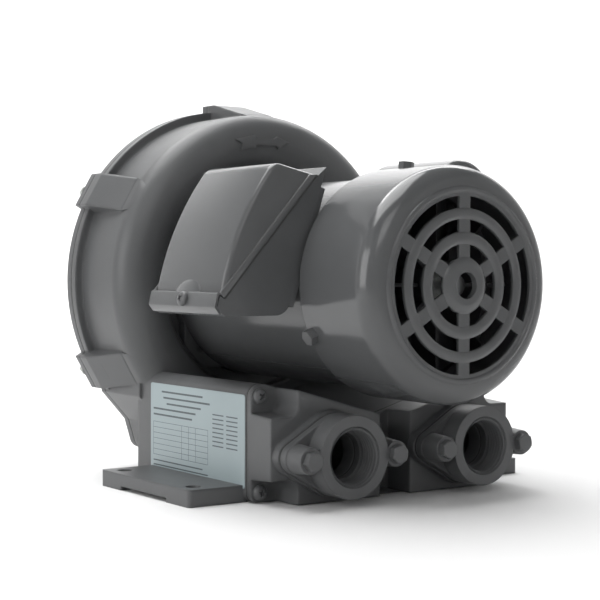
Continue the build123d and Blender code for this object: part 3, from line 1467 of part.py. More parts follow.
# Capacitor under its own cover
capacitor_reach = math.hypot(capacitor_x, capacitor_z - shaft_height)
capacitor_angle = math.degrees(math.atan2(capacitor_z - shaft_height, capacitor_x))
can_reach = saddle_radius + can_gap + capacitor_radius
capacitor_middle_y = capacitor_cover_front_y + capacitor_cover_length / 2
with BuildPart() as capacitor_cover:
    with BuildSketch(axis_plane(capacitor_cover_front_y)):
        with Locations(Rotation(0, 0, capacitor_angle)):
            with Locations((capacitor_reach, 0)):
                Circle(capacitor_cover_radius)
            with Locations((capacitor_reach / 2, 0)):
                Rectangle(capacitor_reach, 2 * capacitor_cover_radius)
    extrude(amount=-capacitor_cover_length)
    end_edges = capacitor_cover.edges().filter_by(GeomType.CIRCLE)
    fillet(end_edges, 4 * capacitor_cover_wall)
    with BuildSketch(axis_plane(capacitor_cover_front_y + capacitor_end_wall)):
        with Locations(Rotation(0, 0, capacitor_angle)):
            with Locations((capacitor_reach, 0)):
                Circle(capacitor_cover_radius - capacitor_cover_wall - 1.0)
            with Locations((capacitor_reach / 2, 0)):
                Rectangle(
                    capacitor_reach, 2 * (capacitor_cover_radius - capacitor_cover_wall - 1.0))
    extrude(amount=2 * capacitor_end_wall - capacitor_cover_length, mode=Mode.SUBTRACT)
    with BuildSketch(axis_plane(capacitor_middle_y - tab_length / 2)) as tabs:
        Circle(saddle_radius + capacitor_cover_wall)
        with Locations(Rotation(0, 0, capacitor_angle)):
            with Locations((capacitor_reach, 0)):
                Rectangle(1.2 * capacitor_reach, 2 * tab_radius, mode=Mode.INTERSECT)
            with Locations((capacitor_reach / 2, 0)):
                Rectangle(
                    capacitor_reach, 2 * (capacitor_cover_radius - capacitor_cover_wall),
                    mode=Mode.SUBTRACT)
    extrude(tabs.sketch, amount=-tab_length)
    with BuildSketch(axis_plane(capacitor_cover_front_y)):
        Circle(saddle_radius)
    extrude(amount=-capacitor_cover_length, mode=Mode.SUBTRACT)
    for angle, y in capacitor_screw_places:
        with BuildSketch(radial_plane(angle, frame_bore, y)) as hole:
            Circle(box_screw_radius + fit_gap)
        extrude(
            hole.sketch, amount=frame_wall + 3 * capacitor_cover_wall, mode=Mode.SUBTRACT)
capacitor_cover.part.label = "capacitor_cover"
export_step(capacitor_cover.part, "parts/capacitor_cover.step")

with BuildPart() as capacitor_cover_screws:
    for angle, y in capacitor_screw_places:
        add_round_screw(
            radial_plane(angle, saddle_radius + capacitor_cover_wall, y), capacitor_head_radius,
            small_head_height, box_screw_radius,
            screw_reach + capacitor_cover_wall - fit_gap)
capacitor_cover_screws.part.label = "capacitor_cover_screws"
export_step(capacitor_cover_screws.part, "parts/capacitor_cover_screws.step")

can_x, can_z = polar(can_reach, capacitor_angle)
with BuildPart() as capacitor:
    with BuildSketch(axis_plane(capacitor_middle_y - capacitor_length / 2)):
        with Locations((can_x, can_z)):
            Circle(capacitor_radius)
    extrude(amount=-capacitor_length)
capacitor.part.label = "capacitor"
export_step(capacitor.part, "parts/capacitor.step")

with BuildPart() as capacitor_clamp:
    with BuildSketch(axis_plane(capacitor_middle_y - clamp_width / 2)):
        with Locations((can_x, can_z)):
            Circle(capacitor_radius + clamp_thickness + running_gap)
            Circle(capacitor_radius + running_gap, mode=Mode.SUBTRACT)
        with Locations(polar(saddle_radius + can_gap / 2, capacitor_angle)):
            with Locations(Rotation(0, 0, capacitor_angle)):
                Rectangle(can_gap - fit_gap, clamp_width)
        Circle(saddle_radius, mode=Mode.SUBTRACT)
    extrude(amount=-clamp_width)
capacitor_clamp.part.label = "capacitor_clamp"
export_step(capacitor_clamp.part, "parts/capacitor_clamp.step")
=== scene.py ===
"""Side channel blower: finishes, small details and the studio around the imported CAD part.

Lengths are in millimetres, in the part's own frame: the origin is the centre of the four foot
holes, +Z is up, and the motor axis runs along Y with the fan at -Y.
"""
import json
import math

import bmesh
import bpy
from bpy.props import FloatProperty, IntProperty, PointerProperty, StringProperty
from mathutils import Matrix, Vector
from mathutils.bvhtree import BVHTree
from mathutils.geometry import delaunay_2d_cdt


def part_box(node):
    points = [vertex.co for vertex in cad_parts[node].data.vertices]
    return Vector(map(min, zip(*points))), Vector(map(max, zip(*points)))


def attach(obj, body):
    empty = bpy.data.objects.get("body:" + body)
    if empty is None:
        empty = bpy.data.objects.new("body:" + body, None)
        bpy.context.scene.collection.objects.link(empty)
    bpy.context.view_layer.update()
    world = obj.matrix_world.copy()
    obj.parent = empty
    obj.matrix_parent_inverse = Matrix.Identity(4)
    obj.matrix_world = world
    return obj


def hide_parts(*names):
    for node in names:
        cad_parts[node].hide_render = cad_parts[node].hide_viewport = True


bl_info = {
    "name": "Side channel blower dressing",
    "version": (1, 0, 0),
    "blender": (4, 5, 0),
    "location": "View3D > Sidebar > Blower",
    "description": "Finishes, threads, screws and studio for a side channel blower",
    "category": "Object",
}

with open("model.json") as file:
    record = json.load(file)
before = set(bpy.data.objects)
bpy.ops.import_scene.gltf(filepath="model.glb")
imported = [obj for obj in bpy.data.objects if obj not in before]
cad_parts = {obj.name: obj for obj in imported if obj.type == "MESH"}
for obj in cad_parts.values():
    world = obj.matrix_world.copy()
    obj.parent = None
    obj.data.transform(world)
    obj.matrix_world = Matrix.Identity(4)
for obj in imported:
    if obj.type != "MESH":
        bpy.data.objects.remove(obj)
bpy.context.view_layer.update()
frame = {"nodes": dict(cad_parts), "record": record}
MM = 0.001
NEAR = 0.01
FRONT = (0, -1, 0)
AXIS_Z = 124.0

# Placements that stand a drawing up: across and up to X and Z, or to Y and Z on the block's side
BLOCK_SIDE_X = -88.0
SECTION = Matrix(((1, 0, 0, 0), (0, 0, 1, 0), (0, 1, 0, 0), (0, 0, 0, 1)))
BLOCK_SIDE = Matrix(((0, 0, -1, BLOCK_SIDE_X), (1, 0, 0, 0), (0, 1, 0, 0), (0, 0, 0, 1)))

# Ports: the bored mouth, the thread in it and the bolts beside it
PORT_XS = (-48.2, 48.2)
PORT_Z = 28.4
PORT_FRONT_Y = -104.0
THREAD_ROOT = 16.55
THREAD_BACK = 16.59
THREAD_LENGTH = 13.0
THREAD_RUN_OUT = 1.6
THREAD_ROWS = 8
PORT_BOLT_XS = (-77.9, -18.5, 18.5, 77.9)

# Screws of the block's front, as (x, z) of each head
SILENCER_FRONT_Y = -59.5
SILENCER_SCREWS = ((0, 38.0), (0, 6.4), (-82.4, 60.8), (-82.4, 6.4), (82.4, 60.8), (82.4, 6.4))

# Lugs and rim bolts round the casing, and the half torus that the lugs run out into
LUG_COUNT = 6
RIM_BOLT_CIRCLE = 114.4
RIM_BOLT_HEAD = 3.5
RIM_BOLT_END_Y = 96.8
LUG_FLAT_Y, LUG_FRONT_Y = 102.5, 68.5
LUG_RIM, LUG_STEP = 118.7, 110.2
PATCH_ENDS = (100.2, 91.0)
PATCH_HALF_WIDTH = 5.6
CHANNEL_RADIUS, CHANNEL_WIDTH = 90.0, 19.4
CHANNEL_CREST_Y, CHANNEL_DEPTH = 65.5, 15.0
NOSE_LENGTH = 10.0
NOSE_HALF_WIDTH = 12.0
NOSE_STEPS = 8

# Terminal box: sheet, ends along Y, and the corners of the cover as (x, z)
SHEET = 1.2
BOX_ENDS = (-74.0, -2.0)
SEAM_TOP = (-53.3, 186.3)
SEAM_BOTTOM = (-115.4, 116.9)
SEAM = (Vector(SEAM_BOTTOM) - Vector(SEAM_TOP)).normalized()
SEAM_INWARD = Vector((-SEAM.y, SEAM.x))
COVER_APEX = (-82.0, 192.6)
COVER_BULGE = (-104.0, 158.4)
COVER_HEEL = (-116.8, 120.0)
RIM_REACH = 1.0
COVER_SCREW_Y = -40.0
STRIP_LINE = [(-116.4, 119.7), (-119.0, 119.3), (-120.8, 112.1), (-117.6, 108.1)]
SCOOP_SIZES = (2.3, 13.0, 8.0)
SCOOP_UP = Vector((0.4, 0, 0.9165))
SCOOP_OUT = Vector((-0.9165, 0, 0.4))

# Rotation arrow, as (x, z) of its corners, and the spacing of the points that follow the casting
ARROW_CORNERS = [
    (-27.8, 215.4), (-13.1, 218.9), (-12.7, 216.8), (1.6, 217.2), (4.5, 218.8), (13.8, 215.2),
    (5.1, 210.6), (3.2, 212.3), (-12.4, 212.0), (-12.6, 210.4), (-24.3, 208.2), (-22.6, 212.6)]
ARROW_ROOT = 0.5
ARROW_EDGE_STEP = 1.2
ARROW_GRID_STEP = 1.3
ARROW_GRID = (60, 20)

# Side plate, as (y, z) of two corners
PLATE_LOW, PLATE_HIGH = (-53.5, 8.0), (53.5, 61.4)
PLATE_CORNER = 1.6

# Camera, solved from the picture: place in metres, angles in degrees
CAMERA_PLACE = (-0.54919, -0.75817, 0.13682)
CAMERA_LENS, CAMERA_SENSOR = 89.42, 36.0
CAMERA_HEADING, CAMERA_PITCH, CAMERA_ROLL = 35.298, 1.470, 0.183

# Each light: name, place and target in metres, width and height in metres, watts
LIGHTS = (
    ("overhead_softbox", (-0.25, 0.25, 1.30), (0, 0.05, 0.1), (1.2, 1.0), 20),
    ("left_softbox", (-1.30, -0.10, 0.42), (0, 0, 0.12), (0.8, 0.7), 5.5),
    ("front_softbox", (-0.70, -1.30, 1.20), (0, 0, 0.12), (0.8, 0.8), 3.5),
    ("back_wash", (0.9, 1.3, 1.9), (1.1, 1.9, 0.5), (2.4, 1.0), 60),
)
AIR_STRENGTH = 0.085

# Studio sweep, in metres
FLOOR_RADIUS, SWEEP_RADIUS, WALL_TOP = 1.8, 0.7, 2.2


# Materials

def linear(hex_code, strength=1.0):
    """An sRGB hex colour as linear RGBA."""
    out = []
    for place in (1, 3, 5):
        value = int(hex_code[place:place + 2], 16) / 255
        value = value / 12.92 if value <= 0.04045 else ((value + 0.055) / 1.055) ** 2.4
        out.append(value * strength)
    return (*out, 1.0)


def add_node(tree, kind, inputs=None, **settings):
    """Adds a node, with its settings and with its sockets set or linked."""
    node = tree.nodes.new(kind)
    for name, value in settings.items():
        setattr(node, name, value)
    for socket, value in (inputs or {}).items():
        if isinstance(value, bpy.types.NodeSocket):
            tree.links.new(value, node.inputs[socket])
        else:
            node.inputs[socket].default_value = value
    return node


def new_material(name):
    """An empty node material, with its output node and the object's own coordinates."""
    material = bpy.data.materials.new(name)
    material.use_nodes = True
    tree = material.node_tree
    tree.nodes.clear()
    out = add_node(tree, "ShaderNodeOutputMaterial")
    place = add_node(tree, "ShaderNodeTexCoord").outputs["Object"]
    return material, tree, out, place


def per_metre(size_mm):
    """A texture scale from the size of one grain in millimetres."""
    return 1.0 / (size_mm * MM)


def enamel(name, colour, roughness, grain_mm, grain_depth_mm, peel_mm, peel_depth_mm, edge_mm,
           cloud_mm=45):
    """Sprayed enamel: the metal's own skin under it, orange peel in it and soft edges."""
    material, tree, out, place = new_material(name)
    cloud = add_node(tree, "ShaderNodeTexNoise", {
        "Vector": place, "Scale": per_metre(cloud_mm), "Detail": 3.0, "Roughness": 0.6})
    tint = add_node(tree, "ShaderNodeValToRGB", {"Fac": cloud.outputs["Fac"]})
    thin, thick = tint.color_ramp.elements
    thin.position, thin.color = 0.3, linear(colour, 0.975)
    thick.position, thick.color = 0.7, linear(colour, 1.02)
    shine = add_node(tree, "ShaderNodeMapRange", {
        "Value": cloud.outputs["Fac"], "From Min": thin.position, "From Max": thick.position,
        "To Min": roughness - 0.012, "To Max": roughness + 0.015})
    soft = add_node(tree, "ShaderNodeBevel", {"Radius": edge_mm * MM}, samples=4)
    grain = add_node(tree, "ShaderNodeTexNoise", {
        "Vector": place, "Scale": per_metre(grain_mm), "Detail": 4.0, "Roughness": 0.65})
    skin = add_node(tree, "ShaderNodeBump", {
        "Strength": 1.0, "Distance": grain_depth_mm * MM, "Height": grain.outputs["Fac"],
        "Normal": soft.outputs["Normal"]})
    peel = add_node(tree, "ShaderNodeTexNoise", {
        "Vector": place, "Scale": per_metre(peel_mm), "Detail": 1.0, "Roughness": 0.4})
    coat = add_node(tree, "ShaderNodeBump", {
        "Strength": 1.0, "Distance": peel_depth_mm * MM, "Height": peel.outputs["Fac"],
        "Normal": skin.outputs["Normal"]})
    shader = add_node(tree, "ShaderNodeBsdfPrincipled", {
        "Base Color": tint.outputs["Color"], "Roughness": shine.outputs["Result"],
        "IOR": 1.5, "Normal": coat.outputs["Normal"]})
    tree.links.new(shader.outputs["BSDF"], out.inputs["Surface"])
    return material


def bare_metal(name, colour, roughness, line_mm, line_depth_mm, stretch=(1.0, 1.0, 1.0),
               edge_mm=0.3):
    """Bare or plated metal with turned, ground or rolled lines."""
    material, tree, out, place = new_material(name)
    run = add_node(tree, "ShaderNodeMapping", {"Vector": place, "Scale": stretch})
    lines = add_node(tree, "ShaderNodeTexNoise", {
        "Vector": run.outputs["Vector"], "Scale": per_metre(line_mm), "Detail": 3.0})
    tint = add_node(tree, "ShaderNodeValToRGB", {"Fac": lines.outputs["Fac"]})
    tint.color_ramp.elements[0].color = linear(colour, 0.8)
    tint.color_ramp.elements[1].color = linear(colour, 1.1)
    shine = add_node(tree, "ShaderNodeMapRange", {
        "Value": lines.outputs["Fac"], "To Min": roughness - 0.08, "To Max": roughness + 0.1})
    soft = add_node(tree, "ShaderNodeBevel", {"Radius": edge_mm * MM}, samples=4)
    marks = add_node(tree, "ShaderNodeBump", {
        "Strength": 1.0, "Distance": line_depth_mm * MM, "Height": lines.outputs["Fac"],
        "Normal": soft.outputs["Normal"]})
    shader = add_node(tree, "ShaderNodeBsdfPrincipled", {
        "Base Color": tint.outputs["Color"], "Metallic": 1.0, "Roughness": shine.outputs["Result"],
        "Normal": marks.outputs["Normal"]})
    tree.links.new(shader.outputs["BSDF"], out.inputs["Surface"])
    return material


def moulded(name, colour, roughness, grain_mm, grain_depth_mm, edge_mm=0.3):
    """Moulded plastic, rubber, gasket sheet or foam: a grain and a slight change of shade."""
    material, tree, out, place = new_material(name)
    grain = add_node(tree, "ShaderNodeTexVoronoi", {"Vector": place, "Scale": per_metre(grain_mm)})
    tint = add_node(tree, "ShaderNodeValToRGB", {"Fac": grain.outputs["Distance"]})
    tint.color_ramp.elements[0].color = linear(colour, 0.8)
    tint.color_ramp.elements[1].color = linear(colour, 1.15)
    soft = add_node(tree, "ShaderNodeBevel", {"Radius": edge_mm * MM}, samples=4)
    skin = add_node(tree, "ShaderNodeBump", {
        "Strength": 1.0, "Distance": grain_depth_mm * MM, "Height": grain.outputs["Distance"],
        "Normal": soft.outputs["Normal"]})
    shader = add_node(tree, "ShaderNodeBsdfPrincipled", {
        "Base Color": tint.outputs["Color"], "Roughness": roughness, "IOR": 1.5,
        "Normal": skin.outputs["Normal"]})
    tree.links.new(shader.outputs["BSDF"], out.inputs["Surface"])
    return material


# Shapes

def add_piece(name, bm, material, smooth_degrees=35.0):
    """Makes a mesh object of the housing from a bmesh in millimetres."""
    bmesh.ops.scale(bm, vec=(MM, MM, MM), verts=bm.verts)
    bmesh.ops.recalc_face_normals(bm, faces=bm.faces)
    mesh = bpy.data.meshes.new(name)
    bm.to_mesh(mesh)
    bm.free()
    mesh.shade_smooth()
    mesh.set_sharp_from_angle(angle=math.radians(smooth_degrees))
    mesh.materials.append(material)
    piece = bpy.data.objects.new(name, mesh)
    bpy.context.scene.collection.objects.link(piece)
    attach(piece, "housing")
    return piece


def turned_ring(bm, profile, place):
    """A ring of points round local Z, with the (radius, height) of each step round."""
    ring = []
    for step, (radius, height) in enumerate(profile):
        turn = 2 * math.pi * step / len(profile)
        ring.append(bm.verts.new(place @ Vector((
            radius * math.cos(turn), radius * math.sin(turn), height))))
    return ring


def join_rings(bm, rings):
    """Puts faces between rings of as many points; a point that repeats is a pole."""
    for lower, upper in zip(rings, rings[1:]):
        for step in range(len(lower)):
            following = (step + 1) % len(lower)
            corners = (lower[step], lower[following], upper[following], upper[step])
            bm.faces.new(tuple(dict.fromkeys(corners)))


def bridge(bm, rings):
    """Joins rings of as many points into one closed solid."""
    join_rings(bm, rings)
    bm.faces.new(rings[0][::-1])
    bm.faces.new(rings[-1])


def lathe(bm, profile, place, steps=48):
    """Turns a profile of (radius, height) points round; a radius of 0 is a pole."""
    rings = []
    for radius, height in profile:
        if radius == 0:
            rings.append([bm.verts.new(place @ Vector((0, 0, height)))] * steps)
        else:
            rings.append(turned_ring(bm, [(radius, height)] * steps, place))
    join_rings(bm, rings)


def hex_bolt(bm, place, across, height, shank_radius, shank_length, crown=0.93, steps=8):
    """A hex head whose corners are turned off at 30 degrees, on a plain shank."""
    apothem = across / 2
    crown_radius = apothem * crown
    count = 6 * steps
    side = [apothem / math.cos(math.radians(60 * (step % steps) / steps - 30))
            for step in range(count)]
    slope = math.tan(math.radians(30))
    bridge(bm, [turned_ring(bm, profile, place) for profile in (
        [(shank_radius, -shank_length)] * count,
        [(shank_radius, 0)] * count,
        [(reach, 0) for reach in side],
        [(reach, height - max(0.0, reach - crown_radius) * slope) for reach in side],
        [(crown_radius, height)] * count)])


def facing(point, direction, roll=0.0):
    """A placement at a point whose local Z looks along the direction."""
    turn = Vector(direction).to_track_quat("Z", "Y").to_matrix().to_4x4()
    return Matrix.Translation(Vector(point)) @ turn @ Matrix.Rotation(math.radians(roll), 4, "Z")


def skin(name):
    """A search tree over the faces of a CAD node, in metres."""
    piece = frame["nodes"][name]
    verts = [piece.matrix_world @ vert.co for vert in piece.data.vertices]
    return BVHTree.FromPolygons(verts, [face.vertices[:] for face in piece.data.polygons])


def carved(name, solid, cutters):
    """A bmesh of the solid with each cutter taken out of it."""
    body = bpy.data.meshes.new(name)
    solid.to_mesh(body)
    solid.free()
    holder = bpy.data.objects.new(name, body)
    bpy.context.scene.collection.objects.link(holder)
    helpers = []
    for place, cutter in enumerate(cutters):
        tool_mesh = bpy.data.meshes.new(f"{name}_cutter_{place}")
        cutter.to_mesh(tool_mesh)
        cutter.free()
        tool = bpy.data.objects.new(tool_mesh.name, tool_mesh)
        bpy.context.scene.collection.objects.link(tool)
        step = holder.modifiers.new(tool_mesh.name, "BOOLEAN")
        step.operation = "DIFFERENCE"
        step.solver = "EXACT"
        step.object = tool
        helpers.append(tool)
    bpy.context.view_layer.update()
    ready = holder.evaluated_get(bpy.context.evaluated_depsgraph_get())
    result = bmesh.new()
    result.from_mesh(ready.to_mesh())
    for helper in (holder, *helpers):
        mesh = helper.data
        bpy.data.objects.remove(helper)
        bpy.data.meshes.remove(mesh)
    return result


def tapered_bar(half_length, half_width, top, depth, taper):
    """A bar that narrows downwards from its top, for one arm of a cross recess."""
    bm = bmesh.new()
    rings = []
    for height, shrink in ((top, 1.0), (top - depth, taper)):
        rings.append([
            bm.verts.new((side * half_length * shrink, across * half_width * shrink, height))
            for side, across in ((-1, -1), (1, -1), (1, 1), (-1, 1))])
    bridge(bm, rings[::-1])
    bmesh.ops.recalc_face_normals(bm, faces=bm.faces)
    return bm


def pan_head(radius, height, shank_radius, shank_length, recess_depth, slot_width):
    """A domed screw head with a cross recess, standing on its plane, with a plain shank."""
    bm = bmesh.new()
    rim = 0.34 * height
    profile = [
        (0.0, -shank_length), (shank_radius, -shank_length), (shank_radius, 0.0),
        (radius, 0.0), (radius, rim)]
    for step in range(1, 8):
        turn = math.radians(90 * step / 8)
        profile.append((radius * math.cos(turn) ** 0.7, rim + (height - rim) * math.sin(turn)))
    profile.append((0.0, height))
    lathe(bm, profile, Matrix.Identity(4), 40)
    bmesh.ops.recalc_face_normals(bm, faces=bm.faces)
    across, upright = (
        tapered_bar(0.55 * radius, slot_width / 2, height + 0.1, recess_depth, 0.45)
        for arm in range(2))
    quarter = Matrix.Rotation(math.radians(90), 3, "Z")
    bmesh.ops.rotate(upright, verts=upright.verts, matrix=quarter)
    return carved("pan_head", bm, (across, upright))


def copies(pattern, places):
    """One bmesh with a copy of the pattern at each placement."""
    mesh = bpy.data.meshes.new("pattern")
    pattern.to_mesh(mesh)
    pattern.free()
    result = bmesh.new()
    for place in places:
        first = len(result.verts)
        result.from_mesh(mesh)
        result.verts.ensure_lookup_table()
        bmesh.ops.transform(result, matrix=place, verts=result.verts[first:])
    bpy.data.meshes.remove(mesh)
    return result


def joined(parts):
    """One bmesh from several."""
    result = bmesh.new()
    for part in parts:
        mesh = bpy.data.meshes.new("part")
        part.to_mesh(mesh)
        part.free()
        result.from_mesh(mesh)
        bpy.data.meshes.remove(mesh)
    return result


def slab(outline, low, high, place):
    """A flat plate from an outline, between two heights."""
    bm = bmesh.new()
    bridge(bm, [
        [bm.verts.new(place @ Vector((*point, height))) for point in outline]
        for height in (low, high)])
    return bm


def rounded(bm, edges, radius, steps):
    """Rounds some edges of a bmesh with real faces."""
    bmesh.ops.bevel(
        bm, geom=edges, offset=radius, offset_type="OFFSET", segments=steps, profile=0.5,
        affect="EDGES", clamp_overlap=True)


def thick_line(points, thickness):
    """The outline of a folded sheet that follows a line of points, with mitred bends."""
    line = [Vector(point) for point in points]
    runs = [end - start for start, end in zip(line, line[1:])]
    left, right = [], []
    for point, before, after in zip(line, runs[:1] + runs, runs + runs[-1:]):
        first = Vector((-before.y, before.x)).normalized()
        second = Vector((-after.y, after.x)).normalized()
        out = (first + second).normalized()
        out *= thickness / 2 / out.dot(first)
        left.append(tuple(point + out))
        right.append(tuple(point - out))
    return left + right[::-1]


def arc_points(start, middle, end, steps):
    """Points of the arc through three points, with both ends."""
    a, b, c = Vector(start), Vector(middle), Vector(end)
    squares = (a.length_squared, b.length_squared, c.length_squared)
    double = 2 * (a.x * (b.y - c.y) + b.x * (c.y - a.y) + c.x * (a.y - b.y))
    centre = Vector((
        (squares[0] * (b.y - c.y) + squares[1] * (c.y - a.y) + squares[2] * (a.y - b.y)) / double,
        (squares[0] * (c.x - b.x) + squares[1] * (a.x - c.x) + squares[2] * (b.x - a.x)) / double))
    first, last = a - centre, c - centre
    turn = last.angle_signed(first)
    return [tuple(centre + Matrix.Rotation(turn * step / steps, 2) @ first)
            for step in range(steps + 1)]


def rounded_rectangle(low, high, radius, steps=6):
    """The outline of a rectangle between two corners, with rounded corners."""
    points = []
    right, left = high[0] - radius, low[0] + radius
    top, bottom = high[1] - radius, low[1] + radius
    for x, y, start in (
            (right, top, 0), (left, top, 90), (left, bottom, 180), (right, bottom, 270)):
        for step in range(steps + 1):
            turn = math.radians(start + 90 * step / steps)
            points.append((x + radius * math.cos(turn), y + radius * math.sin(turn)))
    return points


# Pieces

def seam_depth(co):
    """How far a point of the cover stands from its seam."""
    return abs((Vector((co.x, co.z)) - Vector(SEAM_TOP)).dot(SEAM_INWARD))


def cover_shell():
    """The bulged sheet of the box cover, with rounded edges and open along its seam."""
    outline = [SEAM_BOTTOM, SEAM_TOP, *arc_points(COVER_APEX, COVER_BULGE, COVER_HEEL, 14)]
    bm = slab(outline, *BOX_ENDS, SECTION)
    apex = [edge for edge in bm.edges if all(
        (Vector((vert.co.x, vert.co.z)) - Vector(COVER_APEX)).length < NEAR
        for vert in edge.verts)]
    rounded(bm, apex, sizes().cover_apex_radius, 6)
    ends = []
    for edge in bm.edges:
        one, other = (vert.co for vert in edge.verts)
        if abs(one.y - other.y) < NEAR and max(seam_depth(one), seam_depth(other)) > NEAR:
            ends.append(edge)
    rounded(bm, ends, sizes().cover_edge_radius, 5)
    mouth = [face for face in bm.faces if all(seam_depth(vert.co) < NEAR for vert in face.verts)]
    bmesh.ops.delete(bm, geom=mouth, context="FACES")
    bmesh.ops.recalc_face_normals(bm, faces=bm.faces)
    bmesh.ops.solidify(bm, geom=bm.faces[:], thickness=SHEET)
    return bm


def cover_rim(low):
    """The band along the seam, on the end of the cover that starts at this Y."""
    height = sizes().cover_rim_height
    top, bottom, rise = Vector(SEAM_TOP), Vector(SEAM_BOTTOM), -SEAM_INWARD * height
    rim = slab([top, bottom, bottom + rise, top + SEAM * height + rise],
               low, low + RIM_REACH + SHEET, SECTION)
    rounded(rim, rim.edges[:], 0.6, 2)
    return rim


def cover_strip():
    """The strip folded out at the cover's lower end, which carries its screw."""
    strip = slab(thick_line(STRIP_LINE, SHEET), *BOX_ENDS, SECTION)
    rounded(strip, [edge for edge in strip.edges if edge.calc_length() > 20], 0.5, 2)
    return strip


def cover_scoop():
    """The raised scoop over the cover's screw."""
    out, along, up = SCOOP_SIZES
    scoop = bmesh.new()
    bmesh.ops.create_uvsphere(scoop, u_segments=40, v_segments=20, radius=1.0)
    basis = Matrix((SCOOP_OUT * out, Vector((0, along, 0)), SCOOP_UP * up)).transposed().to_4x4()
    middle = (COVER_HEEL[0], COVER_SCREW_Y + 1.0, COVER_HEEL[1])
    bmesh.ops.transform(scoop, verts=scoop.verts, matrix=Matrix.Translation(middle) @ basis)
    return scoop


def bolt_hole_patch(turn):
    """A thin wedge on a lug's sloping face, over the end of its bolt hole."""
    slope = (LUG_RIM - LUG_STEP) / (LUG_FLAT_Y - LUG_FRONT_Y)
    half = PATCH_HALF_WIDTH
    bm = bmesh.new()
    rings = []
    for y in PATCH_ENDS:
        top = LUG_RIM - slope * (LUG_FLAT_Y - y) + 0.03
        rings.append([bm.verts.new(turn @ Vector((x, y, z))) for x, z in (
            (-half, top - 2), (half, top - 2), (half, top), (-half, top))])
    bridge(bm, rings)
    return bm


def lug_nose(turn):
    """The end of a lug, which narrows and sinks until it lies in the ring channel."""
    bm = bmesh.new()
    rings = []
    for count in range(NOSE_STEPS + 1):
        share = count / NOSE_STEPS
        y = LUG_FRONT_Y - NOSE_LENGTH * share + 0.5
        fall = min(1.0, max(0.0, (CHANNEL_CREST_Y - y) / CHANNEL_DEPTH))
        channel = CHANNEL_RADIUS + CHANNEL_WIDTH * math.sqrt(1 - fall ** 2)
        top = channel + 0.8 * (1 - share) ** 2
        half = NOSE_HALF_WIDTH - 2.5 * share
        corners = [(-half, channel - 3)]
        for across in (-1.0, -0.85, -0.5, 0.0, 0.5, 0.85, 1.0):
            sag = channel - math.sqrt(channel ** 2 - (across * half) ** 2)
            edge = 0.5 if abs(across) == 1 else 0
            corners.append((across * half, top - share * (sag + edge)))
        corners.append((half, channel - 3))
        rings.append([bm.verts.new(turn @ Vector((x, y, z))) for x, z in corners])
    bridge(bm, rings)
    return bm


def plate_rules():
    """Empty table lines and bars of the side plate, as low y, low z, high y and high z."""
    left, right, low, row, line = -14.0, 50.0, 17.0, 3.4, 0.25
    rules = [(left, low + row * step, right, low + row * step + line) for step in range(7)]
    rules += [(y, low, y + line, low + 6 * row + line) for y in (left, 0.0, 8.0, 16.0, right)]
    heading, heading_row, bar = 56.0, 3.6, 1.1
    for step, (start, end) in enumerate((
            (-8.0, 40.0), (-16.0, 38.0), (-6.0, 34.0), (0.0, right), (4.0, right))):
        z = heading - heading_row * step
        rules.append((start, z, end, z + bar))
    for step in range(8):
        z = 47.0 - 2.6 * step
        rules += [(-46.0, z, -34.0, z + 0.7), (-31.0, z, -19.0, z + 0.7)]
    for step in range(2):
        z = 10.5 + 2.8 * step
        rules.append((left + 6 * step, z, right, z + 0.8))
    return rules


# Sizes and colours that a user would change

class BlowerSizes(bpy.types.PropertyGroup):
    """Sizes of the dressed details, in millimetres."""
    thread_pitch: FloatProperty(
        name="Thread pitch", description="Pitch of the pipe thread in the ports",
        default=2.209, min=0.5)
    thread_depth: FloatProperty(
        name="Thread depth", description="Depth of the pipe thread", default=1.6, min=0.2)
    plate_thickness: FloatProperty(
        name="Side plate thickness", description="Thickness of the bare plate on the block",
        default=0.35, min=0.05)
    arrow_height: FloatProperty(
        name="Arrow height", description="How far the flow arrow stands off the casting",
        default=1.1, min=0.1)
    cover_edge_radius: FloatProperty(
        name="Cover edge radius", description="Rounding of the box cover's end edges",
        default=3.0, min=0.2)
    cover_apex_radius: FloatProperty(
        name="Cover apex radius", description="Rounding of the box cover's top edge",
        default=5.0, min=0.2)
    cover_rim_height: FloatProperty(
        name="Cover rim height", description="Width of the band along the cover's seam",
        default=4.0, min=0.5)
    recess_depth: FloatProperty(
        name="Cross recess depth", description="Depth of the cross in the pan heads",
        default=1.8, min=0.2)
    thread_steps: IntProperty(
        name="Thread steps", description="Faces round one turn of a thread", default=96, min=24)


class BlowerColours(bpy.types.PropertyGroup):
    """Colours of the dressed part, as sRGB hex."""
    paint: StringProperty(
        name="Paint", description="Grey enamel of the whole unit", default="#515253")
    plate: StringProperty(
        name="Side plate", description="Pale printed film on the block", default="#94A1A4")
    ink: StringProperty(
        name="Plate rules", description="Printed rules of the side plate", default="#4C5558")
    floor: StringProperty(name="Floor", description="Plain studio floor", default="#E4E4E4")


def sizes():
    """The sizes as they are set in the sidebar."""
    return bpy.context.scene.blower_sizes


def colours():
    """The colours as they are set in the sidebar."""
    return bpy.context.scene.blower_colours


def shown(name):
    """A material that an earlier operator made."""
    return bpy.data.materials[name]


# Operators

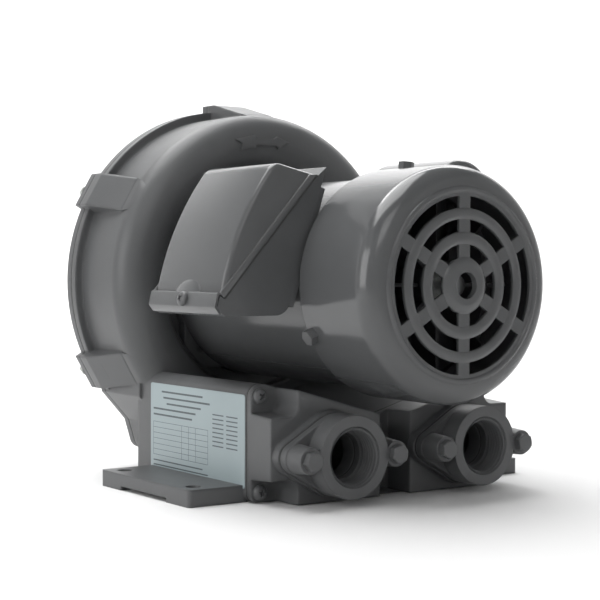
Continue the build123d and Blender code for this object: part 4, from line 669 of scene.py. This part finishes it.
class BLOWER_OT_finishes(bpy.types.Operator):
    """Gives every CAD node the finish of its material slot"""
    bl_idname = "blower.finishes"
    bl_label = "Finishes"

    def execute(self, context):
        paint = colours().paint
        finishes = {
            # Alkyd enamel on a sand-blasted die casting: satin, with the casting's grain
            "painted_casting": enamel(
                "enamel_on_die_casting", paint, 0.40, 1.6, 0.05, 6.0, 0.05, 2.4),
            # The same enamel on the cast port flanges
            "painted_port": enamel("enamel_on_cast_port", paint, 0.42, 1.4, 0.06, 6.0, 0.05, 1.0),
            # Enamel on drawn and rolled sheet steel: glossier, with a soft orange peel only
            "painted_sheet": enamel(
                "enamel_on_sheet_steel", paint, 0.19, 5.0, 0.008, 9.0, 0.025, 0.4),
            # Screws and bolts painted over with the housing
            "painted_fastener": enamel(
                "enamel_on_fastener", paint, 0.36, 2.0, 0.02, 6.0, 0.02, 0.4),
            # Zinc-plated carbon steel: dull silver with fine handling marks
            "zinc_steel": bare_metal("zinc_plated_steel", "#B9BBB8", 0.36, 1.5, 0.01),
            # Plated brass terminal screws
            "brass_screw": bare_metal("plated_brass", "#C9A85A", 0.3, 1.0, 0.005),
            # Through-hardened bearing steel, ground along Y
            "bearing_steel": bare_metal(
                "ground_bearing_steel", "#C4C6C8", 0.22, 1.2, 0.004, (1, 0.1, 1)),
            # Turned carbon steel shaft with rings along its length
            "shaft_steel": bare_metal(
                "turned_carbon_steel", "#A9ABAC", 0.32, 0.6, 0.01, (0.1, 1, 0.1)),
            # Stacked electrical sheet: 0.5 mm laminations drawn as 1 mm so that they show
            "lamination": bare_metal(
                "stacked_electrical_sheet", "#75706A", 0.5, 1.0, 0.06, (0.05, 1, 0.05)),
            # Enamelled copper wire heads
            "winding_enamel": bare_metal(
                "enamelled_copper_wire", "#B0602C", 0.35, 1.2, 0.3, (1, 0.3, 1)),
            # Die-cast aluminium impeller, machined on its rim
            "cast_aluminium": bare_metal("die_cast_aluminium", "#B4B7BA", 0.42, 2.0, 0.03),
            # Moulded polypropylene fan
            "fan_plastic": moulded("moulded_polypropylene", "#2A2B2C", 0.45, 1.4, 0.01),
            # Compressed fibre gasket sheet
            "gasket_sheet": moulded("compressed_fibre_sheet", "#3A3B3A", 0.8, 0.8, 0.03),
            # Moulded nitrile rubber
            "seal_rubber": moulded("nitrile_rubber", "#1C1C1D", 0.6, 1.0, 0.01),
            # Open-cell polyurethane foam with 1.5 mm cells
            "acoustic_foam": moulded("open_cell_foam", "#35363A", 0.95, 1.5, 0.5),
            # Moulded nylon terminal strip
            "terminal_plastic": moulded("moulded_nylon", "#26272A", 0.45, 1.2, 0.01),
            # Moulded capacitor can
            "can_plastic": moulded("moulded_capacitor_can", "#303236", 0.35, 1.2, 0.008),
        }
        slots = {row["node"]: row["material_slot"] for row in frame["record"]["subparts"]}
        for node, piece in frame["nodes"].items():
            for place in piece.material_slots:
                place.material = finishes[slots[node]]
        # The same enamel on the drawn cowl, whose slots have rolled edges: it mirrors the softboxes
        cowl = enamel("enamel_on_drawn_cowl", paint, 0.15, 5.0, 0.006, 9.0, 0.02, 0.8)
        for place in frame["nodes"]["fan_cowl"].material_slots:
            place.material = cowl
        # The same glossy enamel on the drawn cover of the terminal box
        enamel("enamel_on_drawn_cover", paint, 0.20, 5.0, 0.008, 9.0, 0.025, 0.3)
        # The casting's satin enamel with sharp edges, so that the lugs' noses meet it unseen
        enamel("enamel_on_lug_noses", paint, 0.40, 1.6, 0.05, 6.0, 0.05, 0.001)
        # Printed polyester film of the side plate: even and satin
        enamel("printed_polyester_film", colours().plate, 0.36, 0.8, 0.001, 14.0, 0.002, 0.1)
        # Screen-printed ink of its rules: flat and darker
        moulded("printing_ink", colours().ink, 0.5, 1.0, 0.001, 0.02)
        return {"FINISHED"}


class BLOWER_OT_port_threads(bpy.types.Operator):
    """Cuts the helical pipe thread that lines both port mouths"""
    bl_idname = "blower.port_threads"
    bl_label = "Port threads"

    def execute(self, context):
        pitch, depth, steps = sizes().thread_pitch, sizes().thread_depth, sizes().thread_steps
        rows = int(THREAD_LENGTH / pitch * THREAD_ROWS)
        for name, x in zip(("inlet_port_thread", "outlet_port_thread"), PORT_XS):
            bm = bmesh.new()
            mouth = Matrix.Translation((x, PORT_FRONT_Y, PORT_Z)) @ SECTION
            rings = []
            for row in range(rows + 1):
                along = THREAD_LENGTH * row / rows
                run_out = min(1.0, along / THREAD_RUN_OUT)
                profile = []
                for step in range(steps):
                    rise = 1 - abs(2 * ((along / pitch - step / steps) % 1.0) - 1)
                    rise = min(1.0, max(0.0, (rise - 0.12) / 0.76))
                    profile.append((THREAD_ROOT - depth * rise * run_out, along))
                rings.append(turned_ring(bm, profile, mouth))
            for along in (THREAD_LENGTH, 0.0):
                rings.append(turned_ring(bm, [(THREAD_BACK, along)] * steps, mouth))
            join_rings(bm, rings + rings[:1])
            add_piece(name, bm, shown("enamel_on_cast_port"), 25.0)
        return {"FINISHED"}


class BLOWER_OT_screws(bpy.types.Operator):
    """Dresses the pan heads with cross recesses and the bolts with turned-off corners"""
    bl_idname = "blower.screws"
    bl_label = "Screws and bolts"

    def execute(self, context):
        painted = shown("enamel_on_fastener")
        places = []
        for count, (x, z) in enumerate(SILENCER_SCREWS):
            places.append(facing((x, SILENCER_FRONT_Y, z), FRONT, 17 * count + 20))
        head = pan_head(
            radius=4.5, height=3.4, shank_radius=2.5,
            shank_length=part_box("silencer_screws")[1].y / MM - SILENCER_FRONT_Y,
            recess_depth=sizes().recess_depth, slot_width=1.15)
        piece = add_piece(
            "silencer_pan_screws", copies(head, places), painted, 30.0)
        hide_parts("silencer_screws")

        bm = bmesh.new()
        for count, x in enumerate(PORT_BOLT_XS):
            hex_bolt(bm, facing((x, PORT_FRONT_Y, PORT_Z), FRONT, 8 + 11 * count),
                     across=10.0, height=4.0, shank_radius=3.0,
                     shank_length=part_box("port_bolts")[1].y / MM - PORT_FRONT_Y)
        piece = add_piece("port_hex_bolts", bm, painted, 30.0)
        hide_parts("port_bolts")

        # The shanks end before the holes break through the lugs' sloping faces
        seat_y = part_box("cover_bolts")[1].y / MM - RIM_BOLT_HEAD
        bm = bmesh.new()
        for lug in range(LUG_COUNT):
            turn = math.radians(60 * lug)
            spot = (RIM_BOLT_CIRCLE * math.sin(turn), seat_y,
                    AXIS_Z + RIM_BOLT_CIRCLE * math.cos(turn))
            hex_bolt(bm, facing(spot, (0, 1, 0), 13 * lug), across=8.0, height=RIM_BOLT_HEAD,
                     shank_radius=2.5, shank_length=seat_y - RIM_BOLT_END_Y)
        piece = add_piece("rim_hex_bolts", bm, shown("zinc_plated_steel"), 30.0)
        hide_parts("cover_bolts")
        return {"FINISHED"}


class BLOWER_OT_box_cover(bpy.types.Operator):
    """Draws the terminal box cover with rounded edges, its rim, folded strip, scoop and screw"""
    bl_idname = "blower.box_cover"
    bl_label = "Terminal box cover"

    def execute(self, context):
        near, far = BOX_ENDS
        cover = joined([
            cover_shell(), cover_rim(near - RIM_REACH), cover_rim(far - SHEET), cover_strip(),
            cover_scoop()])
        piece = add_piece(
            "drawn_box_cover", cover, shown("enamel_on_drawn_cover"), 50.0)
        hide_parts("terminal_box_cover")

        top, low = Vector(STRIP_LINE[1]), Vector(STRIP_LINE[2])
        run = (low - top).normalized()
        away = Vector((run.y, -run.x))
        seat = (top + low) / 2 + away * SHEET / 2
        head = pan_head(
            radius=4.2, height=3.0, shank_radius=2.0, shank_length=4.2,
            recess_depth=sizes().recess_depth, slot_width=1.1)
        place = facing((seat.x, COVER_SCREW_Y, seat.y), (away.x, 0, away.y), 35)
        piece = add_piece(
            "cover_pan_screw", copies(head, [place]),
            shown("enamel_on_fastener"), 30.0)
        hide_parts("terminal_cover_screw")
        return {"FINISHED"}


class BLOWER_OT_lug_noses(bpy.types.Operator):
    """Closes the bolt holes' ends in the lugs and runs the lugs out into the ring channel"""
    bl_idname = "blower.lug_noses"
    bl_label = "Lug noses"

    def execute(self, context):
        parts = []
        for lug in range(LUG_COUNT):
            turn = Matrix.Translation((0, 0, AXIS_Z)) @ Matrix.Rotation(
                math.radians(60 * lug), 4, "Y")
            parts += [bolt_hole_patch(turn), lug_nose(turn)]
        add_piece(
            "lug_noses", joined(parts), shown("enamel_on_lug_noses"), 40.0)
        return {"FINISHED"}


class BLOWER_OT_flow_arrow(bpy.types.Operator):
    """Raises the rotation arrow on the front of the casing"""
    bl_idname = "blower.flow_arrow"
    bl_label = "Rotation arrow"

    def execute(self, context):
        outline = []
        for start, end in zip(ARROW_CORNERS, ARROW_CORNERS[1:] + ARROW_CORNERS[:1]):
            run = Vector(end) - Vector(start)
            count = max(1, round(run.length / ARROW_EDGE_STEP))
            outline += [Vector(start) + run * step / count for step in range(count)]
        low_x = min(point.x for point in outline)
        low_z = min(point.y for point in outline)
        columns, rows = ARROW_GRID
        inner = [Vector((low_x + ARROW_GRID_STEP * column, low_z + ARROW_GRID_STEP * row))
                 for column in range(columns) for row in range(rows)]
        verts, _, faces, *_ = delaunay_2d_cdt(
            outline + inner, [], [list(range(len(outline)))], 1, 0.05)

        casing = skin("blower_casing")
        bm = bmesh.new()
        levels = []
        for lift in (-ARROW_ROOT, sizes().arrow_height):
            level = []
            for point in verts:
                hit = casing.ray_cast(Vector((point.x * MM, -0.2, point.y * MM)), (0, 1, 0))[0]
                level.append(
                    bm.verts.new((point.x, hit.y / MM - lift, point.y)) if hit else None)
            levels.append(level)
        root, top = levels
        edges = {(a, b) for face in faces for a, b in zip(face, face[1:] + face[:1])}
        for face in faces:
            bm.faces.new([top[corner] for corner in face])
            bm.faces.new([root[corner] for corner in reversed(face)])
        for a, b in sorted(edges):
            if (b, a) not in edges:
                bm.faces.new((root[a], root[b], top[b], top[a]))
        loose = [vert for vert in bm.verts if not vert.link_faces]
        bmesh.ops.delete(bm, geom=loose, context="VERTS")
        add_piece("rotation_arrow", bm, shown("enamel_on_die_casting"), 50.0)
        return {"FINISHED"}


class BLOWER_OT_side_plate(bpy.types.Operator):
    """Lays the bare film plate on the side of the silencer block, with empty printed rules"""
    bl_idname = "blower.side_plate"
    bl_label = "Side plate"

    def execute(self, context):
        lift = sizes().plate_thickness
        outline = rounded_rectangle(PLATE_LOW, PLATE_HIGH, PLATE_CORNER)
        plate = slab(outline, -0.05, lift, BLOCK_SIDE)
        add_piece("side_plate", plate, shown("printed_polyester_film"), 40.0)
        rules = []
        for y_low, z_low, y_high, z_high in plate_rules():
            corners = [(y_low, z_low), (y_high, z_low), (y_high, z_high), (y_low, z_high)]
            rules.append(slab(corners, lift - 0.02, lift + 0.03, BLOCK_SIDE))
        add_piece("side_plate_rules", joined(rules), shown("printing_ink"), 40.0)
        return {"FINISHED"}


class BLOWER_OT_studio(bpy.types.Operator):
    """Sets the pale floor, the soft lights and the camera"""
    bl_idname = "blower.studio"
    bl_label = "Studio"

    def execute(self, context):
        self.lay_sweep(context.scene)
        self.hang_lights(context.scene)
        self.place_camera(context.scene)
        return {"FINISHED"}

    def lay_sweep(self, scene):
        """A round floor that curves up into a wall, in matte paper."""
        # Matte studio paper: almost no gloss and a barely uneven tone
        material, tree, out, place = new_material("matte_studio_paper")
        fibres = add_node(tree, "ShaderNodeTexNoise", {"Vector": place, "Scale": per_metre(60)})
        tint = add_node(tree, "ShaderNodeValToRGB", {"Fac": fibres.outputs["Fac"]})
        tint.color_ramp.elements[0].color = linear(colours().floor, 0.99)
        tint.color_ramp.elements[1].color = linear(colours().floor, 1.0)
        shader = add_node(tree, "ShaderNodeBsdfPrincipled", {
            "Base Color": tint.outputs["Color"], "Roughness": 0.95, "Specular IOR Level": 0.1})
        tree.links.new(shader.outputs["BSDF"], out.inputs["Surface"])

        bm = bmesh.new()
        profile = [(0.0, 0.0), (1.0, 0.0), (FLOOR_RADIUS, 0.0)]
        for step in range(1, 13):
            turn = math.radians(90 * step / 12)
            profile.append((FLOOR_RADIUS + SWEEP_RADIUS * math.sin(turn),
                            SWEEP_RADIUS * (1 - math.cos(turn))))
        profile.append((FLOOR_RADIUS + SWEEP_RADIUS, WALL_TOP))
        lathe(bm, profile, Matrix.Identity(4), 96)
        mesh = bpy.data.meshes.new("studio_sweep")
        bm.to_mesh(mesh)
        bm.free()
        mesh.shade_smooth()
        mesh.materials.append(material)
        sweep = bpy.data.objects.new("studio_sweep", mesh)
        scene.collection.objects.link(sweep)

    def hang_lights(self, scene):
        """Soft boxes round the part, a wash on the wall and faint light from all sides."""
        world = bpy.data.worlds.new("studio_air")
        world.use_nodes = True
        air = world.node_tree.nodes["Background"].inputs
        air["Color"].default_value = (1, 1, 1, 1)
        air["Strength"].default_value = AIR_STRENGTH
        scene.world = world
        scene.view_settings.view_transform = "Standard"
        for name, place, target, size, power in LIGHTS:
            data = bpy.data.lights.new(name, "AREA")
            data.shape = "RECTANGLE"
            data.size, data.size_y = size
            data.energy = power
            lamp = bpy.data.objects.new(name, data)
            lamp.location = place
            aim = Vector(target) - Vector(place)
            lamp.rotation_euler = aim.to_track_quat("-Z", "Y").to_euler()
            lamp.visible_camera = False
            scene.collection.objects.link(lamp)

    def place_camera(self, scene):
        """The camera where the picture was taken from."""
        data = bpy.data.cameras.new("camera")
        data.sensor_width = CAMERA_SENSOR
        data.lens = CAMERA_LENS
        camera = bpy.data.objects.new("camera", data)
        heading, pitch, roll = (
            math.radians(angle) for angle in (CAMERA_HEADING, CAMERA_PITCH, CAMERA_ROLL))
        forward = Vector((
            math.sin(heading) * math.cos(pitch), math.cos(heading) * math.cos(pitch),
            -math.sin(pitch)))
        side = Vector((math.cos(heading), -math.sin(heading), 0))
        up = side.cross(forward)
        side, up = (
            side * math.cos(roll) + up * math.sin(roll),
            up * math.cos(roll) - side * math.sin(roll))
        basis = Matrix((side, up, -forward)).transposed().to_4x4()
        camera.matrix_world = Matrix.Translation(Vector(CAMERA_PLACE)) @ basis
        scene.collection.objects.link(camera)
        scene.camera = camera


class BLOWER_PT_panel(bpy.types.Panel):
    """Lists the steps that dress the blower"""
    bl_idname = "BLOWER_PT_panel"
    bl_label = "Side channel blower"
    bl_space_type = "VIEW_3D"
    bl_region_type = "UI"
    bl_category = "Blower"

    def draw(self, context):
        for step in STEPS:
            self.layout.operator(step.bl_idname)
        for group in (context.scene.blower_sizes, context.scene.blower_colours):
            for name in group.__annotations__:
                self.layout.prop(group, name)


STEPS = (
    BLOWER_OT_finishes, BLOWER_OT_port_threads, BLOWER_OT_screws, BLOWER_OT_box_cover,
    BLOWER_OT_lug_noses, BLOWER_OT_flow_arrow, BLOWER_OT_side_plate, BLOWER_OT_studio)
CLASSES = (BlowerSizes, BlowerColours, *STEPS, BLOWER_PT_panel)


def register():
    for item in CLASSES:
        bpy.utils.register_class(item)
    bpy.types.Scene.blower_sizes = PointerProperty(type=BlowerSizes)
    bpy.types.Scene.blower_colours = PointerProperty(type=BlowerColours)


def unregister():
    del bpy.types.Scene.blower_colours
    del bpy.types.Scene.blower_sizes
    for item in reversed(CLASSES):
        bpy.utils.unregister_class(item)


def main():
    register()
    bpy.ops.blower.finishes()
    bpy.ops.blower.port_threads()
    bpy.ops.blower.screws()
    bpy.ops.blower.box_cover()
    bpy.ops.blower.lug_noses()
    bpy.ops.blower.flow_arrow()
    bpy.ops.blower.side_plate()
    bpy.ops.blower.studio()


if __name__ == "__main__":
    main()
